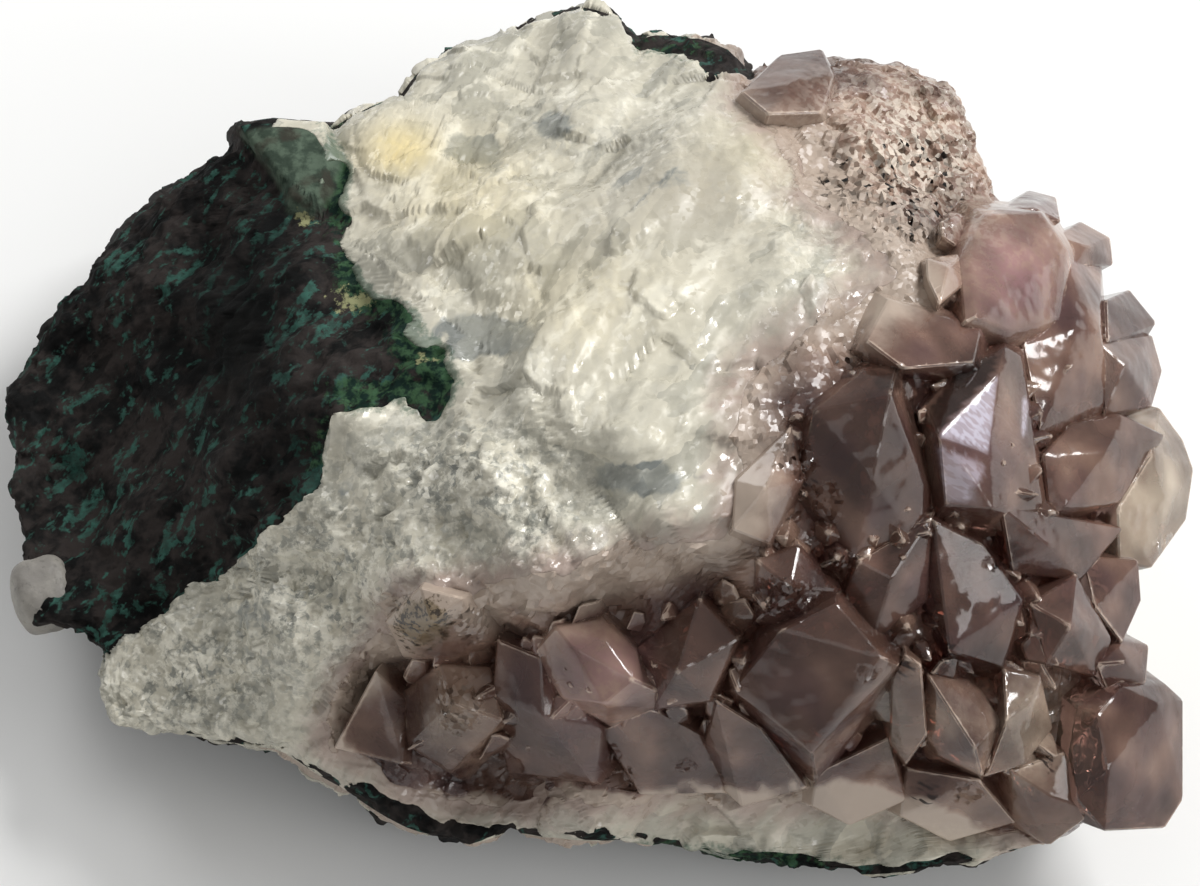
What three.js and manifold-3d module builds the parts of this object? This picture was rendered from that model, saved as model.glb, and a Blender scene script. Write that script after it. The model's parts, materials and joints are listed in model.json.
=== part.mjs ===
// A rough piece of a geode's wall: dark host rock, a band of milky quartz and a crust of amethyst crystals.
// Millimetres, +Z up. The piece lies on the worn flat underside of its host rock, at z = 0.
import * as THREE from 'three';
import { mergeVertices } from 'three/addons/utils/BufferGeometryUtils.js';
import Module from 'manifold-3d';

const wasm = await Module();
wasm.setup();

// Places are given as the piece is seen from the front, by an eye above the table: how far a point lies
// across and up from the middle of the view, and how high it is above the table.
const EYE_DISTANCE = 500;
const EYE_ANGLE = THREE.MathUtils.degToRad(60);
const MIDDLE_HEIGHT = 18;
const CENTRE_X = 0.1;
const CENTRE_Y = 5.4;

const GAP = 0.3; // left between two minerals, so that each is a solid of its own
const UNDERSIDE_DEPTH = 3; // how far the round underside would reach below the flat that it is worn to
const RIM_SHARPNESS = 0.4; // a smaller number makes the piece's shoulders squarer
const BLEND_RADIUS = 2.5; // how far one stated height has the surface to itself
const LUMP_HEIGHT = 0.8;
const BACK_RELIEF = 0.06; // how far the broken back goes in and out, as a share of its distance from the middle
const MEAN_RADIUS = 31; // of the rings of points round the middle of the view
const FRONT_ROWS = 9;
const BACK_ROWS = 4;

const QUARTZ_SLOPE = 1.1; // how fast the quartz thickens away from its edge
const QUARTZ_THICKNESS = 20;
const DRUSE_SLOPE = 0.8; // the same, for the crust that the crystals stand on
const DRUSE_THICKNESS = 4.5;
const OUTSIDE_DEPTH = 3; // how far a layer's underside rises over the surface beyond the layer's edge

// The widest outline of the piece, clockwise from its top: across, up and height above the table
const RIM = [
  [-1.3, 29.4, 20], [-3.7, 28.8, 20], [-6.7, 27.4, 19], [-12.1, 25.1, 18], [-13.4, 23.4, 18],
  [-17.1, 21.8, 17], [-18.1, 21.0, 17], [-23.5, 21.2, 17], [-24.5, 20.7, 16], [-24.7, 19.4, 16],
  [-28.9, 17.0, 13], [-31.6, 14.6, 11], [-35.3, 10.3, 10], [-37.3, 7.6, 9], [-39.6, 2.9, 9],
  [-39.1, -0.5, 9], [-39.5, -2.2, 9], [-39.0, -5.2, 9], [-39.2, -10.4, 9], [-38.0, -12.0, 9],
  [-36.0, -12.6, 8], [-34.9, -13.2, 7], [-33.3, -14.2, 8], [-33.6, -16.6, 8], [-32.6, -18.6, 8],
  [-26.9, -19.6, 7], [-21.5, -20.6, 5], [-17.1, -23.3, 4], [-13.4, -25.7, 4], [-8.7, -27.0, 4],
  [-6.0, -26.1, 4], [1.3, -26.7, 4], [6.7, -27.2, 4], [10.8, -28.2, 4], [16.8, -29.0, 4],
  [22.2, -28.6, 5], [25.9, -27.9, 5], [30.9, -26.3, 6], [33.6, -24.7, 7], [35.6, -21.3, 8],
  [35.3, -16.6, 10], [34.6, -10.6, 12], [36.0, -5.2, 13], [36.3, -0.5, 14], [34.3, 4.2, 16],
  [32.9, 8.9, 18], [30.2, 13.6, 20], [26.9, 16.0, 21], [25.2, 19.7, 21], [23.5, 23.7, 21],
  [20.5, 25.3, 21], [13.4, 25.3, 21], [10.1, 24.9, 20], [8.7, 26.4, 20], [6.7, 27.2, 20],
  [2.7, 27.4, 20], [0.7, 28.8, 20],
];

// Heights of the upper surface: across, up and height above the table
const HEIGHTS = [
  // the host rock's dark left face, its ridge and the flat-topped ledge
  [-34, 3, 12], [-36, -4, 10], [-30, -8, 14], [-27, 13, 19], [-28, 6, 18], [-24, 10, 25], [-24, 14, 24],
  [-21, 8, 28], [-18, 3, 29], [-19, -2, 26], [-21, 19, 23], [-32, -11, 13], [-27, -7, 18], [-23, -4, 23],
  // the broken face of the quartz, with the smooth dome at its upper right
  [-13, 20, 26], [-10, 23, 23], [-5, 26, 21], [-1, 21, 28], [0, 26, 24], [7, 18, 34], [3, 13, 34],
  [-7, 13, 31], [-10, 8, 29], [-3, 4, 34], [3, 2, 35], [-7, -2, 32], [-13, -1, 29], [-17, -5, 26],
  [-20, -11, 21], [-27, -14, 15], [-30, -16, 12],
  // the crystals' crust, from the top of the piece down to its right and front
  [-10, -8, 29], [-3, -7, 32], [7, -4, 34], [12, 2, 34], [17, 2, 34], [20, 8, 34], [13, 8, 35],
  [19, 12, 34], [17, 20, 30], [22, 22, 26], [26, 13, 28], [30, 10, 25], [27, 3, 29], [24, -2, 29],
  [32, 0, 22], [37, -2, 16], [17, -5, 30], [10, -8, 30], [7, -12, 26], [0, -14, 24], [-7, -16, 20],
  [-13, -19, 14], [13, -16, 22], [20, -12, 25], [27, -11, 23], [34, -11, 17], [24, -17, 19],
  [30, -19, 15], [35, -21, 11], [17, -23, 13], [7, -23, 14], [0, -21, 15], [-8, -23, 10], [7, -26, 8],
  [24, -26, 8], [17, -27, 6],
];

// Where the quartz meets the host rock on the surface, as a closed loop that leaves the piece at its right
const QUARTZ_EDGE = [
  [-18.1, 22.7], [-17.1, 19.0], [-17.8, 16.3], [-17.5, 13.0], [-15.8, 10.3], [-13.4, 9.6], [-12.4, 6.6],
  [-10.4, 5.9], [-10.1, 3.9], [-11.4, 2.2], [-13.8, 2.6], [-17.8, 2.6], [-18.5, -0.5], [-19.5, -3.8],
  [-23.5, -6.5], [-26.9, -9.2], [-30.2, -11.2], [-33.3, -14.2], [-35.6, -16.6], [-33.6, -20.3],
  [-26.9, -20.8], [-21.5, -20.3], [-17.1, -22.3], [-13.4, -24.3], [-8.7, -25.5], [-2.7, -25.0],
  [2.7, -25.5], [10.8, -27.0], [16.8, -27.9], [22.2, -27.7], [25.9, -28.0], [30.9, -29.4], [43.0, -30.7],
  [45.7, -10.6], [45.7, 9.6], [33.6, 23.0], [23.5, 28.4], [16.8, 28.8], [12.1, 27.8], [9.7, 24.7],
  [6.0, 25.9], [2.7, 26.3], [1.3, 30.4], [-3.7, 31.1], [-8.7, 29.1], [-13.4, 26.7], [-16.1, 25.1],
];

// Where the crystals' crust meets the quartz
const DRUSE_EDGE = [
  [9.4, 23.7], [12.8, 21.0], [13.4, 17.7], [18.8, 12.3], [20.2, 11.6], [13.4, 7.6], [9.4, 4.2],
  [9.4, -0.5], [8.1, -5.8], [0.0, -7.9], [-5.4, -9.2], [-10.8, -9.9], [-13.4, -10.6], [-16.8, -15.9],
  [-18.1, -20.0], [-13.4, -23.3], [-8.1, -24.0], [-2.7, -24.3], [2.7, -24.0], [6.7, -23.3],
  [10.8, -24.0], [16.8, -23.3], [22.2, -24.0], [25.5, -25.7], [29.6, -27.4], [41.7, -32.1],
  [46.4, -10.6], [46.4, 9.6], [33.6, 24.4], [23.5, 29.8], [16.8, 29.8], [11.4, 27.8],
];

// The crystals that stand out one by one. tip and foot are across and up; rise is how far the tip stands
// above the crust, radius is half the width over the prism's edges and turn rolls it about its own axis.
const CRYSTALS = [
  // upper middle: the lit point and the blocks round it
  { tip: [27.1, 6.4], foot: [24.6, -2.5], rise: 5.5, radius: 3.6, turn: 12, steepness: 1.5 },
  { tip: [22.5, 8.4], foot: [21.0, 1.5], rise: 3.4, radius: 3.9, turn: 25 },
  { tip: [19.4, 4.2], foot: [18.1, -2.0], rise: 3.6, radius: 3.8, turn: 5 },
  { tip: [14.1, 6.4], foot: [14.1, 0.6], rise: 2.0, radius: 3.2, turn: 40 },
  { tip: [13.2, -1.6], foot: [13.5, -4.0], rise: 2.4, radius: 2.2, turn: 0 },
  { tip: [15.6, -5.4], foot: [16.0, -8.0], rise: 2.8, radius: 2.4, turn: 30 },
  { tip: [20.6, -4.4], foot: [19.5, -7.0], rise: 2.8, radius: 3.4, turn: 15 },
  { tip: [17.4, 9.4], foot: [17.0, 5.0], rise: 1.8, radius: 2.8, turn: 20 },
  // top right: the frosted block, the sugary lump and the brown cap
  { tip: [28.3, 12.6], foot: [26.0, 7.0], rise: 3.4, radius: 4.3, turn: 0 },
  { tip: [23.3, 11.4], foot: [22.5, 6.0], rise: 2.0, radius: 2.6, turn: 30 },
  { tip: [29.6, 17.0], foot: [28.0, 13.0], rise: 0.6, radius: 2.4, turn: 0 },
  { tip: [33.2, 14.4], foot: [30.5, 11.0], rise: 0.8, radius: 2.4, turn: 10 },
  { tip: [20.6, 26.0], foot: [19.6, 20.5], rise: 1.2, radius: 3.8, turn: 20 },
  { tip: [25.8, 20.8], foot: [22.0, 18.0], rise: 1.6, radius: 3.5, turn: 0 },
  { tip: [22.6, 17.0], foot: [21.5, 13.0], rise: 1.8, radius: 3.2, turn: 15 },
  { tip: [13.8, 26.2], foot: [12.8, 22.0], rise: 1.0, radius: 3.2, turn: 0 },
  { tip: [17.4, 22.0], foot: [17.0, 17.0], rise: 1.6, radius: 3.2, turn: 35 },
  // right edge
  { tip: [32.8, 12.0], foot: [31.4, 3.8], rise: 2.2, radius: 2.6, turn: 20 },
  { tip: [36.8, 9.2], foot: [33.5, 6.8], rise: 0.8, radius: 2.2, turn: 0 },
  { tip: [37.8, 5.4], foot: [33.4, 3.0], rise: 0.8, radius: 2.9, turn: 15 },
  { tip: [38.2, 0.8], foot: [31.0, -2.6], rise: 1.8, radius: 3.7, turn: 0 },
  { tip: [40.3, -3.4], foot: [35.0, -5.0], rise: 0.4, radius: 3.8, turn: 30 },
  { tip: [36.4, -8.3], foot: [30.0, -6.4], rise: 1.6, radius: 3.6, turn: 12 },
  { tip: [37.4, -13.0], foot: [33.0, -11.4], rise: 1.0, radius: 3.2, turn: 0 },
  { tip: [29.9, 1.0], foot: [27.5, -3.0], rise: 2.4, radius: 3.2, turn: 30 },
  // front, where the points lean down towards the table
  { tip: [14.3, -21.4], foot: [14.6, -13.2], rise: 3.4, radius: 5.0, turn: 12 },
  { tip: [0.8, -18.9], foot: [-0.8, -13.8], rise: 2.8, radius: 4.1, turn: 20 },
  { tip: [25.0, -11.4], foot: [23.4, -7.6], rise: 2.8, radius: 4.2, turn: 25 },
  { tip: [31.0, -14.6], foot: [29.0, -9.8], rise: 2.0, radius: 3.6, turn: 0 },
  { tip: [25.6, -22.4], foot: [24.0, -16.4], rise: 2.6, radius: 3.2, turn: 30 },
  { tip: [28.8, -21.4], foot: [28.2, -15.8], rise: 2.2, radius: 2.7, turn: 0 },
  { tip: [20.8, -21.6], foot: [20.4, -15.0], rise: 1.6, radius: 2.6, turn: 10 },
  { tip: [38.4, -21.4], foot: [32.4, -20.0], rise: 1.6, radius: 4.6, turn: 25 },
  { tip: [7.8, -16.2], foot: [6.8, -11.6], rise: 2.4, radius: 3.9, turn: 0 },
  { tip: [-5.4, -19.6], foot: [-5.4, -13.6], rise: 2.2, radius: 3.6, turn: 15 },
  { tip: [-11.8, -14.6], foot: [-12.0, -11.6], rise: 1.4, radius: 3.0, turn: 0 },
  { tip: [-10.4, -21.4], foot: [-10.8, -17.0], rise: 1.6, radius: 3.2, turn: 30 },
  { tip: [-14.6, -20.6], foot: [-14.4, -17.2], rise: 1.0, radius: 2.6, turn: 0 },
  { tip: [4.4, -22.6], foot: [3.8, -18.4], rise: 1.6, radius: 3.2, turn: 20 },
  { tip: [9.6, -22.4], foot: [9.2, -18.0], rise: 1.6, radius: 3.0, turn: 40 },
  { tip: [10.6, -10.6], foot: [10.4, -7.4], rise: 1.6, radius: 2.4, turn: 0 },
  { tip: [-2.4, -22.6], foot: [-2.2, -18.6], rise: 1.4, radius: 2.8, turn: 10 },
  { tip: [2.2, -12.4], foot: [2.4, -9.6], rise: 1.4, radius: 2.6, turn: 30 },
  { tip: [20.2, -13.0], foot: [19.8, -9.4], rise: 2.0, radius: 2.8, turn: 0 },
  { tip: [34.4, -16.2], foot: [32.4, -14.4], rise: 1.4, radius: 2.6, turn: 20 },
];
const CAP_STEEPNESS = 0.9; // height of a crystal's point over its half width over the edges
const CRYSTAL_FLATNESS = 0.88;
const ROOT_TAPER = 0.92;
const ROOT_DEPTH = 3; // how deep a crystal's foot stands in the crust
const SMALL_CRYSTAL_SPACING = 6.5;
const SMALL_CRYSTAL_RADIUS = [1.6, 2.3];
const SMALL_CRYSTAL_RISE = [0.7, 1.3];

const NODULE = { across: -37.0, up: -10.8, height: 9.4, size: [2.7, 3.0, 2.5], turn: 0.3 };

// A point by where it is seen and how high it is above the table
function place(across, up, height) {
  const eye = new THREE.Vector3(
    0,
    -EYE_DISTANCE * Math.cos(EYE_ANGLE),
    MIDDLE_HEIGHT + EYE_DISTANCE * Math.sin(EYE_ANGLE),
  );
  const onView = new THREE.Vector3(
    across,
    up * Math.sin(EYE_ANGLE),
    MIDDLE_HEIGHT + up * Math.cos(EYE_ANGLE),
  );
  const share = (height - eye.z) / (onView.z - eye.z);
  const point = eye.lerp(onView, share);
  return new THREE.Vector3(point.x - CENTRE_X, point.y - CENTRE_Y, point.z);
}

function seededRandom(seed) {
  let state = seed;
  return () => {
    state = (state * 1664525 + 1013904223) % 4294967296;
    return state / 4294967296;
  };
}

function between([low, high], share) {
  return low + (high - low) * share;
}

// The stated heights, each weighed by how near it is
function statedHeight(across, up) {
  let sum = 0;
  let weights = 0;
  for (const [x, y, height] of HEIGHTS) {
    const weight = ((across - x) ** 2 + (up - y) ** 2 + BLEND_RADIUS ** 2) ** -2;
    sum += weight * height;
    weights += weight;
  }
  return sum / weights;
}

// Broad lumps of the broken surface, as crossing waves
function lumps(across, up) {
  const steep = Math.sin(0.3 * across + 0.5 * up + 1.3);
  const level = Math.cos(0.45 * across - 0.25 * up);
  return LUMP_HEIGHT * steep * level;
}

// A point of a ring round the middle: the outer rings follow the rim and the inner ones are rounder
function onRing([rimAcross, rimUp], share) {
  const reach = Math.hypot(rimAcross, rimUp);
  const rounding = share < 1 ? share + (MEAN_RADIUS / reach) * (1 - share) : 1;
  return [rimAcross * share * rounding, rimUp * share * rounding];
}

// Height of the upper surface, which drops to the rim's height over the shoulder
function surfaceHeight([across, up], rimHeight, share) {
  const shoulder = (1 - Math.min(share, 1) ** 2) ** (RIM_SHARPNESS / 2);
  const height = statedHeight(across, up) + lumps(across, up);
  return rimHeight + (height - rimHeight) * shoulder;
}

function undersideHeight(rimHeight, share) {
  const wall = (1 - share ** 2) ** 0.5;
  return rimHeight - (rimHeight + UNDERSIDE_DEPTH) * wall;
}

// How far a point of the view lies inside a closed loop, below zero outside it
function depthInside(loop, across, up) {
  let nearest = Infinity;
  let inside = false;
  loop.forEach(([x1, y1], i) => {
    const [x2, y2] = loop[(i + 1) % loop.length];
    const along = ((across - x1) * (x2 - x1) + (up - y1) * (y2 - y1)) / ((x2 - x1) ** 2 + (y2 - y1) ** 2);
    const foot = THREE.MathUtils.clamp(along, 0, 1);
    nearest = Math.min(nearest, Math.hypot(across - x1 - foot * (x2 - x1), up - y1 - foot * (y2 - y1)));
    const crosses = y1 > up !== y2 > up && across < x1 + ((up - y1) * (x2 - x1)) / (y2 - y1);
    inside = crosses ? !inside : inside;
  });
  return inside ? nearest : -nearest;
}

function quartzDepth(across, up) {
  const depth = QUARTZ_SLOPE * depthInside(QUARTZ_EDGE, across, up);
  return THREE.MathUtils.clamp(depth, -OUTSIDE_DEPTH, QUARTZ_THICKNESS);
}

function druseDepth(across, up) {
  const depth = DRUSE_SLOPE * depthInside(DRUSE_EDGE, across, up);
  return THREE.MathUtils.clamp(depth, -OUTSIDE_DEPTH, DRUSE_THICKNESS);
}

// A closed skin: a point at each end and rings of points between them, one for each point of the rim
function closedSkin(first, rings, last) {
  const points = [first, ...rings.flat(), last];
  const count = RIM.length;
  const end = points.length - 1;
  const indices = [];
  for (let i = 0; i < count; i += 1) {
    const next = (i + 1) % count;
    indices.push(0, 1 + i, 1 + next);
    indices.push(end, end - count + next, end - count + i);
    for (let ring = 0; ring < rings.length - 1; ring += 1) {
      const start = 1 + ring * count;
      indices.push(start + i, start + count + i, start + next);
      indices.push(start + next, start + count + i, start + count + next);
    }
  }
  const geometry = new THREE.BufferGeometry().setFromPoints(points);
  geometry.setIndex(indices);
  return geometry;
}

function frontShares() {
  return Array.from({ length: FRONT_ROWS }, (_, i) => Math.sin(((i + 1) / FRONT_ROWS) * (Math.PI / 2)));
}

function ringAt(share, heightOf) {
  return RIM.map((rim) => {
    const [across, up] = onRing(rim, share);
    return place(across, up, heightOf([across, up], rim[2], share));
  });
}

function backRing(share) {
  return RIM.map(([rimAcross, rimUp, rimHeight]) => {
    const relief = 1 + BACK_RELIEF * (1 - share) * lumps(2 * rimAcross, 40 * share + rimUp);
    const reach = share * relief;
    return place(rimAcross * reach, rimUp * reach, undersideHeight(rimHeight, share));
  });
}

// The whole rock as one skin, before it is parted into its minerals
function wholeRock() {
  const front = frontShares().map((share) => ringAt(share, surfaceHeight));
  const back = Array.from({ length: BACK_ROWS }, (_, i) => {
    return backRing(Math.cos(((i + 1) / (BACK_ROWS + 1)) * (Math.PI / 2)));
  });
  const top = place(0, 0, surfaceHeight([0, 0], 0, 0));
  const bottom = place(0, 0, -UNDERSIDE_DEPTH);
  return closedSkin(top, [...front, ...back], bottom);
}

// Everything above a layer's underside, which lies at a depth below the upper surface
function spaceAbove(depthAt, lift) {
  const BEYOND_RIM = [1.06, 1.14];
  const CEILING = 70;
  const underside = ([across, up], rimHeight, share) => {
    return surfaceHeight([across, up], rimHeight, share) - depthAt(across, up) + lift;
  };
  const shares = [...frontShares(), ...BEYOND_RIM];
  const lower = shares.map((share) => ringAt(share, underside));
  const lid = ringAt(BEYOND_RIM[1], () => CEILING);
  const start = place(0, 0, underside([0, 0], 0, 0));
  return closedSkin(place(0, 0, CEILING), [lid, ...lower.reverse()], start);
}

function solidFrom(geometry) {
  const bare = geometry.clone();
  bare.deleteAttribute('normal');
  bare.deleteAttribute('uv');
  const merged = mergeVertices(bare, 1e-4);
  return new wasm.Manifold(new wasm.Mesh({
    numProp: 3,
    vertProperties: new Float32Array(merged.getAttribute('position').array),
    triVerts: new Uint32Array(merged.getIndex().array),
  }));
}

// The largest body of a solid, without the crumbs that a cut leaves
function largestBody(solid) {
  return solid.decompose().sort((a, b) => b.volume() - a.volume())[0];
}

function geometryFrom(solid) {
  const mesh = solid.getMesh();
  const geometry = new THREE.BufferGeometry();
  geometry.setAttribute('position', new THREE.BufferAttribute(mesh.vertProperties, 3));
  geometry.setIndex(new THREE.BufferAttribute(mesh.triVerts, 1));
  return geometry;
}

// A flattened six-sided prism with a six-sided point, from its root to its tip
function crystalGeometry(root, tip, radius, turn, steepness = CAP_STEEPNESS) {
  const length = root.distanceTo(tip);
  const capHeight = Math.min(steepness * radius, 0.8 * length);
  const profile = [
    new THREE.Vector2(0, 0),
    new THREE.Vector2(radius * ROOT_TAPER, 0),
    new THREE.Vector2(radius, length - capHeight),
    new THREE.Vector2(0, length),
  ];
  const geometry = new THREE.LatheGeometry(profile, 6).scale(1, 1, CRYSTAL_FLATNESS);
  const axis = tip.clone().sub(root).normalize();
  geometry.rotateY(THREE.MathUtils.degToRad(turn));
  geometry.applyQuaternion(new THREE.Quaternion().setFromUnitVectors(new THREE.Vector3(0, 1, 0), axis));
  return geometry.translate(root.x, root.y, root.z);
}

// Height of the upper surface under any point of the view, with the shoulder of the nearest rim point
function heightAt(across, up) {
  const turnFrom = (rim) => {
    const turn = Math.atan2(rim[1], rim[0]) - Math.atan2(up, across);
    return Math.abs(Math.atan2(Math.sin(turn), Math.cos(turn)));
  };
  const rim = RIM.reduce((best, other) => (turnFrom(other) < turnFrom(best) ? other : best));
  return surfaceHeight([across, up], rim[2], Math.hypot(across, up) / Math.hypot(rim[0], rim[1]));
}

function namedCrystals() {
  return CRYSTALS.map(({ tip, foot, rise, radius, turn, steepness }) => {
    const end = place(tip[0], tip[1], heightAt(tip[0], tip[1]) + rise);
    const root = place(foot[0], foot[1], heightAt(foot[0], foot[1]) - ROOT_DEPTH);
    return crystalGeometry(root, end, radius, turn, steepness);
  });
}

// Small crystals on a loose grid over the crust, each leaning away from the middle of the piece
function smallCrystals() {
  const random = seededRandom(7);
  const crystals = [];
  const step = SMALL_CRYSTAL_SPACING;
  for (let row = -8; row <= 8; row += 1) {
    for (let column = -6; column <= 10; column += 1) {
      const across = (column + 0.5 * (row % 2) + 0.6 * (random() - 0.5)) * step;
      const up = (row + 0.6 * (random() - 0.5)) * step * 0.87;
      const radius = between(SMALL_CRYSTAL_RADIUS, random());
      const rise = between(SMALL_CRYSTAL_RISE, random());
      const lean = 0.05 + 0.04 * random();
      const turn = 60 * random();
      if (depthInside(DRUSE_EDGE, across, up) > radius && depthInside(RIM, across, up) > 0.5 * radius) {
        const height = heightAt(across, up);
        const root = place(across, up, height - ROOT_DEPTH);
        const tip = place(across * (1 + lean), up * (1 + lean), height + rise);
        crystals.push(crystalGeometry(root, tip, radius, turn));
      }
    }
  }
  return crystals;
}

function noduleGeometry(growth) {
  const { across, up, height, size, turn } = NODULE;
  const middle = place(across, up, height);
  const geometry = new THREE.IcosahedronGeometry(1, 2);
  geometry.scale(size[0] + growth, size[1] + growth, size[2] + growth);
  return geometry.rotateZ(turn).translate(middle.x, middle.y, middle.z);
}

const MINERALS = {
  basalt: { color: 0x3b3a36, roughness: 0.9, metalness: 0 },
  quartz: { color: 0xd8d6c8, roughness: 0.45, metalness: 0 },
  amethyst: { color: 0x7a625f, roughness: 0.2, metalness: 0 },
  paleQuartz: { color: 0xb9b6aa, roughness: 0.6, metalness: 0 },
};

function mineral(name, solid, look) {
  const mesh = new THREE.Mesh(geometryFrom(solid), new THREE.MeshStandardMaterial(look));
  mesh.name = name;
  return mesh;
}

const table = solidFrom(new THREE.BoxGeometry(200, 200, 40).translate(0, 0, -20));
const rock = largestBody(solidFrom(wholeRock()).subtract(table));
const aboveBasalt = solidFrom(spaceAbove(quartzDepth, GAP / 2));
const aboveBasaltLowered = solidFrom(spaceAbove(quartzDepth, -GAP / 2));
const aboveQuartz = solidFrom(spaceAbove(druseDepth, GAP / 2));
const aboveQuartzLowered = solidFrom(spaceAbove(druseDepth, -GAP / 2));
const nodulePocket = solidFrom(noduleGeometry(GAP));

const basalt = largestBody(rock.subtract(aboveBasaltLowered).subtract(nodulePocket));
const quartz = largestBody(rock.intersect(aboveBasalt).subtract(aboveQuartzLowered));
const nodule = largestBody(solidFrom(noduleGeometry(0)));

// The crystals stand in the crust and keep clear of the quartz and the host rock below it
const NEIGHBOUR_GROWTH = 1.012;
const grownRock = rock.scale([NEIGHBOUR_GROWTH, NEIGHBOUR_GROWTH, NEIGHBOUR_GROWTH]);
const belowCrust = grownRock.subtract(aboveQuartz);
const crystals = [...namedCrystals(), ...smallCrystals()].map(solidFrom);
const standing = crystals.reduce((joined, crystal) => joined.add(crystal)).subtract(belowCrust);
const druse = largestBody(rock.intersect(aboveQuartz).add(standing).subtract(table));

const group = new THREE.Group();
group.add(mineral('basalt_rind', basalt, MINERALS.basalt));
group.add(mineral('milky_quartz_band', quartz, MINERALS.quartz));
group.add(mineral('amethyst_druse', druse, MINERALS.amethyst));
group.add(mineral('quartz_nodule', nodule, MINERALS.paleQuartz));

export default group;
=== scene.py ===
import json
import math

import bmesh
import bpy
import numpy as np
from mathutils import Matrix, Vector

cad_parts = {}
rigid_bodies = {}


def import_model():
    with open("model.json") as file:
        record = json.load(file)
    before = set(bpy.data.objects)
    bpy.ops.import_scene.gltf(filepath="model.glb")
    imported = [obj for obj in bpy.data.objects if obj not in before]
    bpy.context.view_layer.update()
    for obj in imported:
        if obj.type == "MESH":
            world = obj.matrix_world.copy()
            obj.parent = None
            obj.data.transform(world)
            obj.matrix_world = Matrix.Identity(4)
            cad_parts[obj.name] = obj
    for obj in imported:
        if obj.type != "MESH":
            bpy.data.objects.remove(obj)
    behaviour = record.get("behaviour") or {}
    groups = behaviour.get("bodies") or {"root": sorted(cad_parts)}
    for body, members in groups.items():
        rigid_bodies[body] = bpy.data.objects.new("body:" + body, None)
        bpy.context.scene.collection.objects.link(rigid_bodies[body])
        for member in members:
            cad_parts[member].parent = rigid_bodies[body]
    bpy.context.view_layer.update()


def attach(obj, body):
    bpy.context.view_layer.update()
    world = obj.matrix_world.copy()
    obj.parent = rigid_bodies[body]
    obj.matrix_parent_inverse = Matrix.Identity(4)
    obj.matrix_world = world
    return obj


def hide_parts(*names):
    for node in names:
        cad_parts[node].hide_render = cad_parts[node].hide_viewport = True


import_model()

metres = 0.001  # shapes are worked out in millimetres and stored in metres

# Places are given across and up, as an eye above the front of the piece sees them, and high above the table
view = {
    "distance": 500,  # from the eye to the middle of the view
    "angle": 60,  # of the eye above the table, in degrees
    "middleHeight": 18,
    "middleX": -0.1,
    "middleY": -5.4,
    "width": 80.64,  # of what the camera shows at the middle of the view
    "sensor": 36,
}
viewCos = math.cos(math.radians(view["angle"]))
viewSin = math.sin(math.radians(view["angle"]))


def makeCamera():
    middle = Vector((view["middleX"], view["middleY"], view["middleHeight"])) * metres
    away = Vector((0, -viewCos, viewSin))
    camera = bpy.data.objects.new("camera", bpy.data.cameras.new("camera"))
    camera.data.sensor_width = view["sensor"]
    camera.data.lens = view["sensor"] * view["distance"] / view["width"]
    camera.data.clip_start = 0.01
    camera.location = middle + away * view["distance"] * metres
    camera.rotation_euler = away.to_track_quat("Z", "Y").to_euler()
    bpy.context.scene.collection.objects.link(camera)
    bpy.context.scene.camera = camera


makeCamera()
print("camera made")


# The point at a height above the table on the eye's ray through a place across and up in the view
def place(across, up, height):
    eyeY = -view["distance"] * viewCos
    eyeZ = view["middleHeight"] + view["distance"] * viewSin
    share = (height - eyeZ) / (view["middleHeight"] + up * viewCos - eyeZ)
    x = across * share + view["middleX"]
    y = eyeY + share * (up * viewSin - eyeY) + view["middleY"]
    return np.stack([x, y, height + 0 * share], -1)


# The reverse: where the eye sees a point, from its distance to the side of and above the line of sight
def seenAt(points):
    x = points[..., 0] - view["middleX"]
    y = points[..., 1] - view["middleY"]
    z = points[..., 2] - view["middleHeight"]
    scale = view["distance"] / (view["distance"] + y * viewCos - z * viewSin)
    return x * scale, (y * viewSin + z * viewCos) * scale


# A number from 0 to 1 for each cell of a cubic lattice, mixed from its three whole coordinates and a seed
def latticeRandom(cell, seed):
    mixed = cell[..., 0] * 374761393 + cell[..., 1] * 668265263 + cell[..., 2] * 1440662683 + seed * 974711
    mixed = ((mixed ^ (mixed >> 13)) * 1274126177) & 0xFFFFFFFF
    mixed = ((mixed ^ (mixed >> 15)) * 2246822519) & 0xFFFFFFFF
    return ((mixed ^ (mixed >> 16)) & 0xFFFFFF) / 0xFFFFFF


# Smooth noise from -1 to 1: lattice numbers blended over each cell by an s-shaped curve
def softNoise(points, seed):
    cell = np.floor(points).astype(np.int64)
    part = points - cell
    part = part * part * (3 - 2 * part)
    total = 0
    for corner in np.ndindex(2, 2, 2):
        weight = np.prod(np.where(np.array(corner) == 1, part, 1 - part), -1)
        total = total + weight * latticeRandom(cell + np.array(corner), seed)
    return 2 * total - 1


# Layers of soft noise, each half as broad and half as high as the one before
def layeredNoise(points, size, layers, seed):
    total = 0
    for layer in range(layers):
        total = total + 0.5**layer * softNoise(points * 2**layer / size + 7.3 * layer, seed + layer)
    return total


# Broken grains: each point belongs to its nearest seed point and lies on that grain's own tilted plane
def grainRelief(points, size, seed, tilt=1.0):
    scaled = points / size
    cell = np.floor(scaled).astype(np.int64)
    nearest = np.full(points.shape[:-1], np.inf)
    relief = np.zeros(points.shape[:-1])
    for offset in np.ndindex(3, 3, 3):
        other = cell + np.array(offset) - 1
        random = [latticeRandom(other, seed + part) for part in range(7)]
        away = scaled - (other + np.stack(random[:3], -1))
        distance = (away**2).sum(-1)
        plane = (away * (2 * np.stack(random[3:6], -1) - 1)).sum(-1) * tilt + random[6] - 0.5
        closer = distance < nearest
        nearest = np.where(closer, distance, nearest)
        relief = np.where(closer, plane, relief)
    return relief * size


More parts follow.
